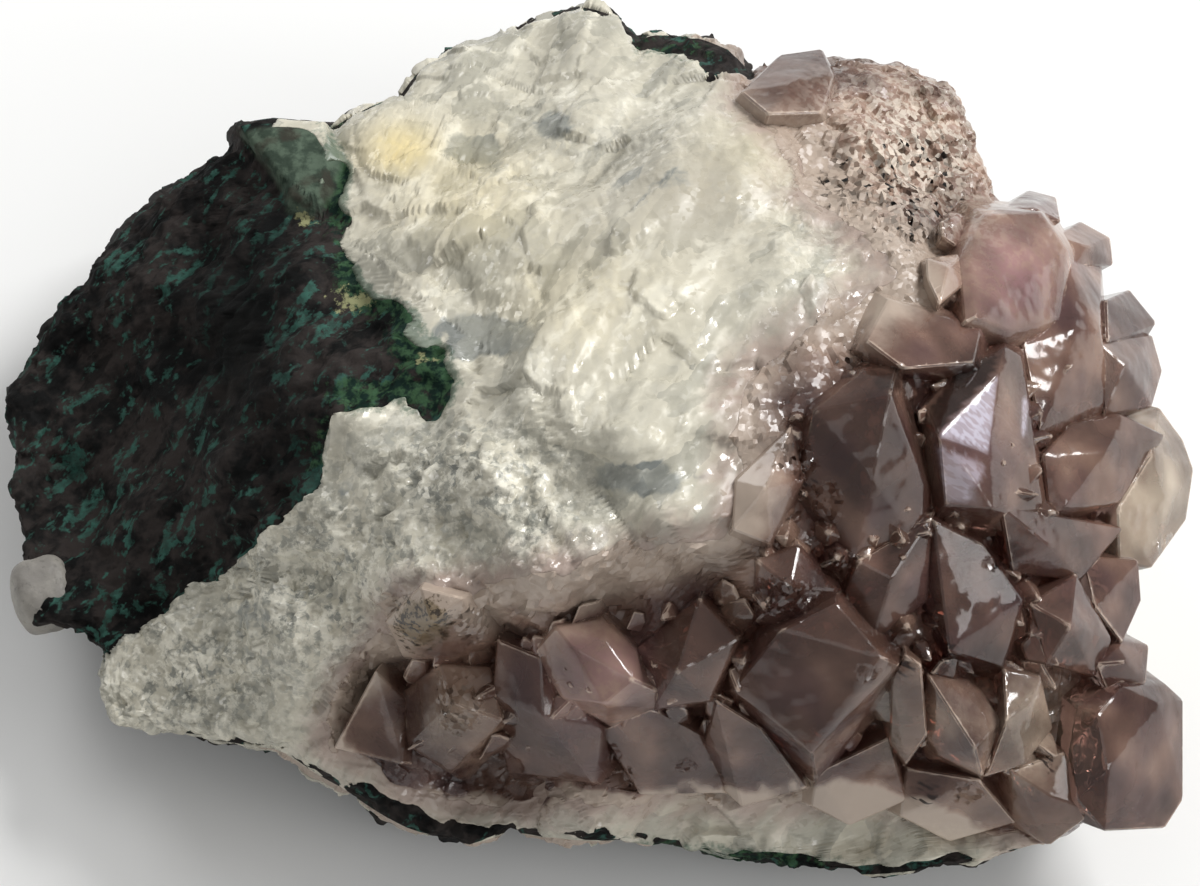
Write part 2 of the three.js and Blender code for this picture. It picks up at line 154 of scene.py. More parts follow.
def smoothStep(low, high, value):
    share = np.clip((value - low) / (high - low), 0, 1)
    return share * share * (3 - 2 * share)


# How strongly round patches cover each place: the highest of their bell curves
def patches(listed, across, up):
    total = np.zeros(np.shape(across))
    for x, y, wide, high, amount in listed:
        total = np.maximum(total, amount * np.exp(-(((across - x) / wide) ** 2) - ((up - y) / high) ** 2))
    return total


rock = {
    # the widest outline, clockwise from its top: across, up and height above the table
    "rim": [
        (-1.3, 29.4, 20), (-3.7, 28.8, 20), (-6.7, 27.4, 19), (-12.1, 25.1, 18), (-13.4, 23.4, 18),
        (-17.1, 21.8, 17), (-18.1, 21.0, 17), (-23.5, 21.2, 17), (-24.5, 20.7, 16), (-24.7, 19.4, 16),
        (-28.9, 17.0, 13), (-31.6, 14.6, 11), (-35.3, 10.3, 10), (-37.3, 7.6, 9), (-39.6, 2.9, 9),
        (-39.1, -0.5, 9), (-39.5, -2.2, 9), (-39.0, -5.2, 9), (-39.2, -10.4, 9), (-38.0, -12.0, 9),
        (-36.0, -12.6, 8), (-34.9, -13.2, 7), (-33.3, -14.2, 8), (-33.6, -16.6, 8), (-32.6, -18.6, 8),
        (-26.9, -19.6, 7), (-21.5, -20.6, 5), (-17.1, -23.3, 4), (-13.4, -25.7, 4), (-8.7, -27.0, 4),
        (-6.0, -26.1, 4), (1.3, -26.7, 4), (6.7, -27.2, 4), (10.8, -28.2, 4), (16.8, -29.0, 4),
        (22.2, -28.6, 5), (25.9, -27.9, 5), (30.9, -26.3, 6), (33.6, -24.7, 7), (35.6, -21.3, 8),
        (35.3, -16.6, 10), (34.6, -10.6, 12), (36.0, -5.2, 13), (36.3, -0.5, 14), (34.3, 4.2, 16),
        (32.9, 8.9, 18), (30.2, 13.6, 20), (26.9, 16.0, 21), (25.2, 19.7, 21), (23.5, 23.7, 21),
        (20.5, 25.3, 21), (13.4, 25.3, 21), (10.1, 24.9, 20), (8.7, 26.4, 20), (6.7, 27.2, 20),
        (2.7, 27.4, 20), (0.7, 28.8, 20),
    ],
    # heights of the upper surface: across, up and height above the table
    "heights": [
        (-34, 3, 12), (-36, -4, 10), (-30, -8, 14), (-27, 13, 19), (-28, 6, 18), (-24, 10, 25),
        (-24, 14, 24), (-21, 8, 28), (-18, 3, 29), (-19, -2, 26), (-21, 19, 23), (-32, -11, 13),
        (-27, -7, 18), (-23, -4, 23),
        (-13, 20, 26), (-10, 23, 23), (-5, 26, 21), (-1, 21, 28), (0, 26, 24), (7, 18, 34), (3, 13, 34),
        (-7, 13, 31), (-10, 8, 29), (-3, 4, 34), (3, 2, 35), (-7, -2, 32), (-13, -1, 29), (-17, -5, 26),
        (-20, -11, 21), (-27, -14, 15), (-30, -16, 12),
        (-10, -8, 29), (-3, -7, 32), (7, -4, 34), (12, 2, 34), (17, 2, 34), (20, 8, 34), (13, 8, 35),
        (19, 12, 34), (17, 20, 30), (22, 22, 26), (26, 13, 28), (30, 10, 25), (27, 3, 29), (24, -2, 29),
        (32, 0, 22), (37, -2, 16), (17, -5, 30), (10, -8, 30), (7, -12, 26), (0, -14, 24), (-7, -16, 20),
        (-13, -19, 14), (13, -16, 22), (20, -12, 25), (27, -11, 23), (34, -11, 17), (24, -17, 19),
        (30, -19, 15), (35, -21, 11), (17, -23, 13), (7, -23, 14), (0, -21, 15), (-8, -23, 10),
        (7, -26, 8), (24, -26, 8), (17, -27, 6),
    ],
    "undersideDepth": 3,  # how far the round underside would reach below the flat that it is worn to
    "rimSharpness": 0.4,
    "blendRadius": 2.5,  # how far one stated height has the surface to itself
    "lumpHeight": 0.55,
    "backRelief": 0.06,
    "meanRadius": 31,
    "grid": 330,  # rows and columns of the upper surface
    "backRows": 44,
    "crowding": 0.3,  # how much closer together the columns are on the left, where the bare stone shows
    "crowdedTurn": 155,
    "mostTriangles": 185000,  # in one mineral's mesh
    "sheetColumns": 250,  # of the sheets that part the minerals
    "sheetRows": 84,
    "beyondRim": [1.06, 1.14],  # how far out, against the rim, the sheets' last rings lie
    "ceiling": 70,
    "crustGap": 0.04,  # between the quartz and the crystals' crust
}
rimPoints = np.array(rock["rim"], float)
rimPoints = rimPoints[np.argsort(np.arctan2(rimPoints[:, 1], rimPoints[:, 0]))]
rimTurns = np.arctan2(rimPoints[:, 1], rimPoints[:, 0])


# Reach of the rim and its height in each direction from the middle of the view
def rimAt(turn):
    reach = np.interp(turn, rimTurns, np.hypot(rimPoints[:, 0], rimPoints[:, 1]), period=2 * math.pi)
    return reach, np.interp(turn, rimTurns, rimPoints[:, 2], period=2 * math.pi)


# How far out a place lies, from 0 in the middle to 1 at the rim, on rings that are rounder further in
def rimShare(across, up):
    distance = np.hypot(across, up)
    reach, rimHeight = rimAt(np.arctan2(up, across))
    mean = rock["meanRadius"]
    share = 2 * distance / (mean + np.sqrt(mean**2 + 4 * (reach - mean) * np.minimum(distance, reach)))
    return share, rimHeight


# Crossing waves that make the broken surface lumpy
def lumps(across, up):
    return rock["lumpHeight"] * np.sin(0.3 * across + 0.5 * up + 1.3) * np.cos(0.45 * across - 0.25 * up)


# Height of the upper surface: the stated heights weighed by nearness, and dropping to the rim's height
def upperHeight(across, up):
    weights = 0
    total = 0
    for x, y, height in rock["heights"]:
        weight = ((across - x) ** 2 + (up - y) ** 2 + rock["blendRadius"] ** 2) ** -2
        weights = weights + weight
        total = total + weight * height
    share, rimHeight = rimShare(across, up)
    shoulder = (1 - np.clip(share, 0, 1) ** 2) ** (rock["rimSharpness"] / 2)
    return rimHeight + (total / weights + lumps(across, up) - rimHeight) * shoulder


# How far each place lies inside a closed loop, below zero outside it
def depthInside(loop, across, up):
    corners = np.array(loop, float)
    nearest = np.full(np.shape(across), np.inf)
    inside = np.zeros(np.shape(across), bool)
    for (x1, y1), (x2, y2) in zip(corners, np.roll(corners, -1, 0)):
        wide, high = x2 - x1, y2 - y1
        along = np.clip(((across - x1) * wide + (up - y1) * high) / (wide**2 + high**2), 0, 1)
        nearest = np.minimum(nearest, np.hypot(across - x1 - along * wide, up - y1 - along * high))
        crosses = ((y1 > up) != (y2 > up)) & (across < x1 + (up - y1) * wide / (high or 1))
        inside = inside ^ crosses
    return np.where(inside, nearest, -nearest)


layers = {
    # where the quartz meets the host rock, as a closed loop that leaves the piece at its right
    "quartzEdge": [
        (-18.1, 22.7), (-17.1, 19.0), (-17.8, 16.3), (-17.5, 13.0), (-15.8, 10.3), (-13.4, 9.6),
        (-12.4, 6.6), (-10.4, 5.9), (-10.1, 3.9), (-11.4, 2.2), (-13.8, 2.6), (-17.8, 2.6),
        (-18.5, -0.5), (-19.5, -3.8), (-23.5, -6.5), (-26.9, -9.2), (-30.2, -11.2), (-33.3, -14.2),
        (-35.6, -16.6), (-33.6, -20.3), (-26.9, -20.8), (-21.5, -20.3), (-17.1, -22.3), (-13.4, -24.3),
        (-8.7, -25.9), (-2.7, -25.9), (2.7, -26.3), (10.8, -27.8), (16.8, -28.6), (22.2, -28.4),
        (25.9, -28.0), (30.9, -29.4), (43.0, -30.7), (45.7, -10.6), (45.7, 9.6), (33.6, 23.0),
        (23.5, 28.4), (16.8, 28.8), (12.1, 27.8), (9.7, 24.7), (6.0, 25.9), (2.7, 26.3), (1.3, 30.4),
        (-3.7, 31.1), (-8.7, 29.1), (-13.4, 26.7), (-16.1, 25.1),
    ],
    "quartzSlope": 1.1,  # how fast the quartz thickens away from its edge
    "quartzThickness": 20,
    # where the crystals' crust meets the quartz
    "druseEdge": [
        (9.4, 23.7), (12.8, 21.0), (13.4, 17.7), (18.8, 12.3), (20.2, 11.6), (13.4, 7.6), (9.4, 4.2),
        (9.4, -0.5), (8.1, -5.8), (0.0, -7.9), (-5.4, -9.2), (-10.8, -9.9), (-13.4, -10.6),
        (-16.8, -15.9), (-18.1, -20.0), (-13.4, -23.3), (-8.1, -24.0), (-2.7, -24.3), (2.7, -24.0),
        (6.7, -23.3), (10.8, -24.0), (16.8, -23.3), (22.2, -24.0), (25.5, -25.7), (29.6, -27.4),
        (41.7, -32.1), (46.4, -10.6), (46.4, 9.6), (33.6, 24.4), (23.5, 29.8), (16.8, 29.8), (11.4, 27.8),
    ],
    "druseSlope": 0.8,
    "druseThickness": 4.5,
    "outsideDepth": 6,
    "ragged": 0.7,  # how far the minerals' boundaries wander
}


# Places pushed to and fro by noise, which makes a boundary through them ragged
def wander(across, up, seed):
    flat = np.stack([across, up, 0 * across], -1)
    return (
        across + layers["ragged"] * layeredNoise(flat, 2.2, 3, seed),
        up + layers["ragged"] * layeredNoise(flat, 2.2, 3, seed + 20),
    )


def quartzDepth(across, up):
    depth = layers["quartzSlope"] * depthInside(layers["quartzEdge"], *wander(across, up, 40))
    return np.clip(depth, -layers["outsideDepth"], layers["quartzThickness"])


def druseDepth(across, up):
    depth = layers["druseSlope"] * depthInside(layers["druseEdge"], *wander(across, up, 80))
    return np.clip(depth, -layers["outsideDepth"], layers["druseThickness"])


# Where each tint lies: across, up, half width, half height and strength
tints = {
    "cloudSize": 2.4,  # of the veils in the crystals
    "shadowSize": 2.6,
    "warm": [(-13.5, 19.7, 2.6, 1.8, 1.0), (-9, 17, 5, 4, 0.35), (-2, 10, 6, 4, 0.2), (12, 20, 4, 3, 0.2)],
    "blueGrey": [
        (-8.1, 19.5, 2.4, 1.6, 0.9), (-3.3, 21.3, 1.8, 1.4, 0.8), (-7.8, 7.2, 4.0, 1.7, 1.0),
        (2.7, -2.4, 4.5, 1.5, 0.9), (-18, -3.5, 3, 2, 0.5), (-24, -12, 4, 2.5, 0.5), (5, 17, 5, 3.5, 0.45),
        (-13, -7, 5, 2.4, 0.35), (-2, 22, 6, 2, 0.35),
    ],
    "pink": [(27.9, 11.4, 3.4, 3.6, 1.0), (-0.6, -15.5, 3.6, 3.4, 0.8), (25.2, -0.6, 2.6, 2.4, 0.35)],
    "pale": [
        (38.2, -3.4, 2.2, 4.2, 1.0), (20, -27.5, 13, 2.2, 0.7), (29, -19, 4, 5, 0.7),
        (19.5, -18.4, 1.6, 4, 0.6), (-10.0, -18.5, 3.4, 3.2, 0.55), (24.0, -18.5, 3, 3, 0.4),
    ],
    "dark": [
        (19.2, 2.0, 3.4, 3.6, 0.9), (14, 4.5, 4.5, 4, 0.8), (14.4, -13.5, 4.4, 4.6, 0.75),
        (26, 3.5, 1.6, 3, 0.6),
        (26, -5.5, 5, 4, 0.6), (36, -19, 3.2, 3.4, 0.6), (7.4, -11.4, 2, 2, 0.6), (36.5, 9.0, 2, 1.6, 0.8),
        (-10.8, -19.2, 3, 2.2, 0.6), (14.2, 25.6, 3, 2.4, 0.5),
    ],
    "speckled": [(-12.0, -12.0, 2.3, 2.1, 1.0)],
    "needles": [
        (23.2, -14.0, 1.3, 0.9, 1.0), (20.5, -15.3, 0.8, 0.8, 0.8), (21.8, -23.5, 1.0, 0.9, 1.0),
        (29.9, -21.5, 0.9, 0.8, 1.0), (29.0, -23.7, 0.7, 0.6, 0.9), (14.0, -2.6, 0.8, 1.6, 0.8),
    ],
    "clean": [(13, 25, 4, 3.5, 1.0), (20, 25, 4, 1.5, 0.7)],  # brown right up to the crystals' edge
    "broken": [(21, 20, 6, 5.5, 1.0), (16, 15, 4, 4, 0.8)],  # sparkling, with no crystal faces
    "glints": [
        (21.3, 17.0, 3.6, 4.6, 0.9), (16.6, 17.5, 3.0, 2.6, 0.7), (17.0, 5.7, 1.3, 1.1, 1.0),
        (13.2, -1.1, 1.6, 1.6, 1.0), (15.3, -4.0, 1.2, 1.8, 0.9), (16.2, -7.9, 1.4, 1.2, 0.8),
        (12.2, -10.4, 2.6, 1.4, 1.0), (18.0, -15.5, 0.9, 0.8, 1.0), (24.6, -23.5, 1.3, 0.8, 1.0),
        (26.6, -8.1, 1.0, 0.7, 0.8), (28.9, 0.2, 1.0, 0.8, 0.3), (-9.4, -17.6, 1.8, 2.6, 0.8),
        (-8.6, -12.2, 1.3, 1.5, 0.9), (1.0, -20.8, 0.6, 0.7, 0.9), (2.0, -22.4, 0.6, 0.8, 0.8),
        (38.4, -7.0, 1.2, 1.0, 0.9), (5.8, -21.7, 0.9, 0.6, 0.8), (28.5, -8.3, 0.8, 0.6, 0.6),
        (31.5, 15.2, 1.2, 0.7, 0.7),
    ],
    # faces with a painted highlight (lit) or painted shade (shaded): how much of it, and the face's outline
    # across and up
    "lit": [
        (1.0, [(26.7, 4.5), (22.8, 0.5), (26.1, -0.7)]),
        (0.6, [(22.6, -0.2), (25.9, -1.6), (24.9, -4.0), (23.2, -3.6)]),
        (0.9, [(28.4, 3.0), (28.8, 2.8), (28.6, 0.5), (28.3, 0.4)]),
    ],
    "shaded": [
        (1.0, [(27.1, 6.4), (26.7, 4.8), (22.7, 0.6), (22.0, 2.3), (24.0, 4.9)]),
        (0.9, [(18.0, 4.9), (20.1, 5.1), (20.3, 3.5), (18.6, 3.5)]),
        (0.7, [(20.2, 5.1), (21.0, 3.6), (22.3, -3.6), (21.9, -3.9), (20.3, 3.2)]),
        (0.5, [(27.9, 6.0), (28.7, 5.2), (27.9, 2.4), (26.9, 4.6)]),
    ],
}


relief = {
    # across, up, half width, half height and strength of the patches with a surface of their own
    "ledgeLoop": [
        (-24.4, 20.9), (-22.0, 21.3), (-17.6, 21.0), (-17.2, 19.2), (-17.9, 16.6), (-19.0, 15.3),
        (-21.0, 15.4), (-21.3, 16.8), (-22.6, 18.6),
    ],
    "green": [
        (-17.4, 18, 2.4, 4, 1.0), (-15.5, 11, 3, 3, 1.0), (-12, 7, 3, 3.5, 1.0), (-12, 4.5, 3.5, 3, 1.0),
        (-16, 3.5, 3, 1.8, 0.8), (-19, 0, 2, 3, 0.5), (5, 26.5, 4, 1.2, 0.5), (8, -27.5, 14, 1.5, 0.6),
    ],
    "threads": [(-16.5, 9.6, 2.4, 1.2, 1.0), (-12.0, 5.6, 1.5, 0.8, 0.8), (-20, 15.2, 1.5, 0.7, 1.0)],
    # shade: painted shade on the face left of the ridge, over rock that is dark there too; no relief of its
    # own
    "shade": [(-24.5, 8, 3.2, 6.5, 1.0), (-22.5, 13, 2.4, 4.0, 0.7), (-21, -0.5, 2.2, 4.5, 0.6)],
    "foliated": [(-22, -5, 6, 7, 1.0), (-28, -10, 8, 4, 1.0), (-17, 5, 5, 6, 0.6)],
    "dome": [(7.0, 17.0, 6.5, 4.2, 1.0), (0.5, 16.5, 4.0, 3.0, 0.5)],
    "sugar": [
        (-9.0, -2.5, 7.5, 4.5, 1.0), (-18.0, -10.0, 11.0, 7.5, 1.0), (-28.0, -15.5, 8.0, 5.0, 1.0),
        (-5.0, -5.5, 6.0, 4.0, 0.8), (17.0, 16.5, 6.0, 6.0, 0.7), (-1.0, 20.5, 9.0, 3.0, 0.3),
    ],
}


# Host rock: thin slanting leaves and hollows, calm on the ledge
def basaltRelief(points, across, up):
    flat = np.stack([across, up, points[..., 2]], -1)
    slant = math.radians(42)
    along = flat[..., 0] * math.cos(slant) + flat[..., 1] * math.sin(slant)
    over = flat[..., 1] * math.cos(slant) - flat[..., 0] * math.sin(slant)
    leaves = layeredNoise(np.stack([along / 5.0, over / 1.1, flat[..., 2] / 3.0], -1), 1, 3, 100)
    hollows = layeredNoise(points, 4.0, 3, 110)
    grains = grainRelief(points, 1.1, 120, 0.8)
    crumbs = layeredNoise(points, 0.7, 2, 130)
    ledge = smoothStep(-0.1, 0.5, depthInside(relief["ledgeLoop"], across, up))
    foliated = patches(relief["foliated"], across, up)
    rough = (0.25 + 0.45 * foliated) * leaves + 0.6 * hollows + 0.2 * grains + 0.1 * crumbs
    return (1 - 0.9 * ledge) * rough + 1.1 * ledge


# Quartz: sugary grains, steep splintery streaks, broad shell-like breaks, and a waxy dome
def quartzRelief(points, across, up):
    dome = patches(relief["dome"], across, up)
    sugar = patches(relief["sugar"], across, up)
    slant = math.radians(58)
    along = across * math.cos(slant) + up * math.sin(slant)
    over = up * math.cos(slant) - across * math.sin(slant)
    streaks = layeredNoise(np.stack([along / 4.5, over / 0.9, 0 * along], -1), 1, 3, 200)
    broad = grainRelief(points, 4.6, 210, 0.55) + 0.6 * grainRelief(points, 2.3, 220, 0.6)
    fine = grainRelief(points, 1.2, 230, 0.9) + 0.7 * grainRelief(points, 0.62, 240, 1.0)
    swell = layeredNoise(points, 5.0, 2, 250)
    rough = (1 - 0.85 * dome) * (0.14 * broad + (0.05 + 0.3 * sugar) * fine + 0.14 * streaks * (1 - sugar))
    return rough + 0.22 * swell


# Skin between the crystals: small lumps
def crustRelief(points, across, up):
    broken = patches(tints["broken"], across, up)
    grains = 0.2 * grainRelief(points, 1.5, 300, 0.9) + 0.3 * broken * grainRelief(points, 1.9, 305, 0.9)
    return grains + 0.3 * layeredNoise(points, 3.5, 2, 310)


def meshObject(name, points, triangles):
    mesh = bpy.data.meshes.new(name)
    mesh.vertices.add(len(points))
    mesh.vertices.foreach_set("co", points.astype(np.float32).ravel())
    mesh.loops.add(3 * len(triangles))
    mesh.loops.foreach_set("vertex_index", triangles.astype(np.int32).ravel())
    mesh.polygons.add(len(triangles))
    mesh.polygons.foreach_set("loop_start", np.arange(0, 3 * len(triangles), 3, dtype=np.int32))
    mesh.update(calc_edges=True)
    made = bpy.data.objects.new(name, mesh)
    bpy.context.scene.collection.objects.link(made)
    return made


# Triangles of a closed skin: a first point, rings of equally many points, and a last point
def skinTriangles(rings, columns):
    ring, column = np.meshgrid(np.arange(rings - 1), np.arange(columns), indexing="ij")
    beside = (column + 1) % columns
    start = 1 + ring * columns
    a, b, c, d = start + column, start + columns + column, start + beside, start + columns + beside
    walls = np.concatenate([np.stack([a, b, c], -1).reshape(-1, 3), np.stack([c, b, d], -1).reshape(-1, 3)])
    column = np.arange(columns)
    beside = (column + 1) % columns
    end = 1 + rings * columns
    first = np.stack([0 * column, 1 + column, 1 + beside], -1)
    last = np.stack([end + 0 * column, end - columns + beside, end - columns + column], -1)
    return np.concatenate([first, walls, last])


def vertexNormals(points, triangles):
    a, b, c = (points[triangles[:, corner]] for corner in range(3))
    faceNormals = np.cross(b - a, c - a)
    normals = np.zeros_like(points)
    for corner in range(3):
        np.add.at(normals, triangles[:, corner], faceNormals)
    return normals / np.maximum(np.linalg.norm(normals, axis=1, keepdims=True), 1e-12)


def signedVolume(points, triangles):
    a, b, c = (points[triangles[:, corner]] for corner in range(3))
    return (a * np.cross(b, c)).sum() / 6


def facingOut(points, triangles):
    return triangles if signedVolume(points, triangles) > 0 else triangles[:, ::-1]


# The upper surface's grid: a square grid bent into a disc, whose squares round the middle become rings.
# It gives how far out each point lies and in which direction, crowded together on the left
def discGrid(count):
    row, column = np.meshgrid(np.linspace(-1, 1, count), np.linspace(-1, 1, count), indexing="ij")
    ring = np.maximum(abs(row), abs(column))
    safe = np.maximum(ring, 1e-9)
    sideways = np.where(column > 0, 0.25 * row / safe, 1 - 0.25 * row / safe)
    upwards = np.where(row > 0, 0.5 - 0.25 * column / safe, -0.5 + 0.25 * column / safe)
    turn = math.pi * np.where(abs(column) >= abs(row), sideways, upwards)
    turn = turn - rock["crowding"] * np.sin(turn - math.radians(rock["crowdedTurn"]))
    return np.sin(ring * math.pi / 2), turn


# Numbers of the grid's border points in order, and the triangles of the grid
def gridLinks(count):
    number = np.arange(count * count).reshape(count, count)
    border = np.concatenate([number[0, :-1], number[:-1, -1], number[-1, :0:-1], number[:0:-1, 0]])
    a, b, c, d = number[:-1, :-1], number[:-1, 1:], number[1:, :-1], number[1:, 1:]
    cells = np.concatenate([np.stack([a, b, d], -1).reshape(-1, 3), np.stack([a, d, c], -1).reshape(-1, 3)])
    return border, cells


# Rings of points across the upper surface: each a share of the way to the rim, rounder further in
def ringPlaces(turns, shares):
    reach, rimHeight = rimAt(turns)
    share = shares[:, None]
    rounding = np.where(share < 1, share + rock["meanRadius"] / reach * (1 - share), 1)
    distance = reach * share * rounding
    return distance * np.cos(turns), distance * np.sin(turns), rimHeight + 0 * share


# The whole piece before it is parted: the upper surface's grid, and rings of the underside from its border
def makeRock():
    count = rock["grid"]
    share, turn = discGrid(count)
    reach, rimHeight = rimAt(turn)
    distance = reach * share * (share + rock["meanRadius"] / reach * (1 - share))
    distance = np.where(share >= 1, reach, distance)
    across, up = distance * np.cos(turn), distance * np.sin(turn)
    upper = place(across, up, upperHeight(across, up)).reshape(-1, 3)
    border, cells = gridLinks(count)
    turns = turn.ravel()[border]
    rows = rock["backRows"]
    backShares = np.cos(np.arange(1, rows + 1) / (rows + 1) * math.pi / 2)[:, None]
    reach, rimHeight = rimAt(turns)
    rimAcross, rimUp = reach * np.cos(turns), reach * np.sin(turns)
    backReach = backShares * (
        1 + rock["backRelief"] * (1 - backShares) * lumps(2 * rimAcross, 40 * backShares + rimUp)
    )
    depth = rock["undersideDepth"]
    backHeight = rimHeight - (rimHeight + depth) * np.sqrt(1 - backShares**2)
    lower = place(rimAcross * backReach, rimUp * backReach, backHeight)
    lowest = place(np.zeros(1), np.zeros(1), np.zeros(1) - depth)
    points = np.concatenate([upper, lower.reshape(-1, 3), lowest])
    rings = np.concatenate([border[None], len(upper) + np.arange(rows * len(border)).reshape(rows, -1)])
    beside = np.roll(rings, -1, 1)
    walls = np.concatenate([
        np.stack([rings[:-1], rings[1:], beside[:-1]], -1).reshape(-1, 3),
        np.stack([beside[:-1], rings[1:], beside[1:]], -1).reshape(-1, 3),
        np.stack([rings[-1], 0 * rings[-1] + len(points) - 1, beside[-1]], -1),
    ])
    triangles = facingOut(points, np.concatenate([cells, walls]))
    normals = vertexNormals(points, triangles)
    across, up = seenAt(points)
    surface = upperHeight(across, up)
    quartz = smoothStep(-0.4, 0.4, points[:, 2] - surface + quartzDepth(across, up))
    druse = smoothStep(-0.2, 0.6, points[:, 2] - surface + druseDepth(across, up))
    stone = basaltRelief(points, across, up)
    milky = quartzRelief(points, across, up)
    raised = stone + (milky - stone) * quartz
    raised = raised + (crustRelief(points, across, up) - raised) * druse
    onTable = smoothStep(0.0, 3.0, points[:, 2])
    points = points + normals * (raised * (0.3 + 0.7 * onTable))[:, None]
    points[:, 2] = np.maximum(points[:, 2], 0)
    return meshObject("rock", points, triangles)


# Everything above a layer's underside, which lies at the layer's depth below the upper surface
def makeSpaceAbove(name, depthAt, lift):
    ceiling = rock["ceiling"]
    turns = np.linspace(0, 2 * math.pi, rock["sheetColumns"], endpoint=False)
    shares = np.sin(np.arange(1, rock["sheetRows"] + 1) / rock["sheetRows"] * math.pi / 2)
    across, up, _ = ringPlaces(turns, np.concatenate([shares, rock["beyondRim"]])[::-1])
    sheet = place(across, up, upperHeight(across, up) - depthAt(across, up) + lift)
    lid = place(across[:1], up[:1], ceiling + 0 * across[:1])
    zero = np.zeros(1)
    points = np.concatenate([
        place(zero, zero, zero + ceiling),
        lid.reshape(-1, 3),
        sheet.reshape(-1, 3),
        place(zero, zero, upperHeight(zero, zero) - depthAt(zero, zero) + lift),
    ])
    triangles = skinTriangles(len(sheet) + 1, len(turns))
    return meshObject(name, points, facingOut(points, triangles))


# A new object: the first shape cut by, joined with or kept inside the other or all of a collection
def combined(name, first, other, operation):
    modifier = first.modifiers.new("combine", "BOOLEAN")
    modifier.operation = operation
    modifier.solver = "MANIFOLD"
    if isinstance(other, bpy.types.Collection):
        modifier.operand_type = "COLLECTION"
        modifier.collection = other
    else:
        modifier.object = other
    bpy.context.view_layer.update()
    evaluated = first.evaluated_get(bpy.context.evaluated_depsgraph_get())
    mesh = bpy.data.meshes.new_from_object(evaluated)
    first.modifiers.clear()
    made = bpy.data.objects.new(name, mesh)
    bpy.context.scene.collection.objects.link(made)
    return made


def remove(*objects):
    for thing in objects:
        bpy.data.objects.remove(thing)


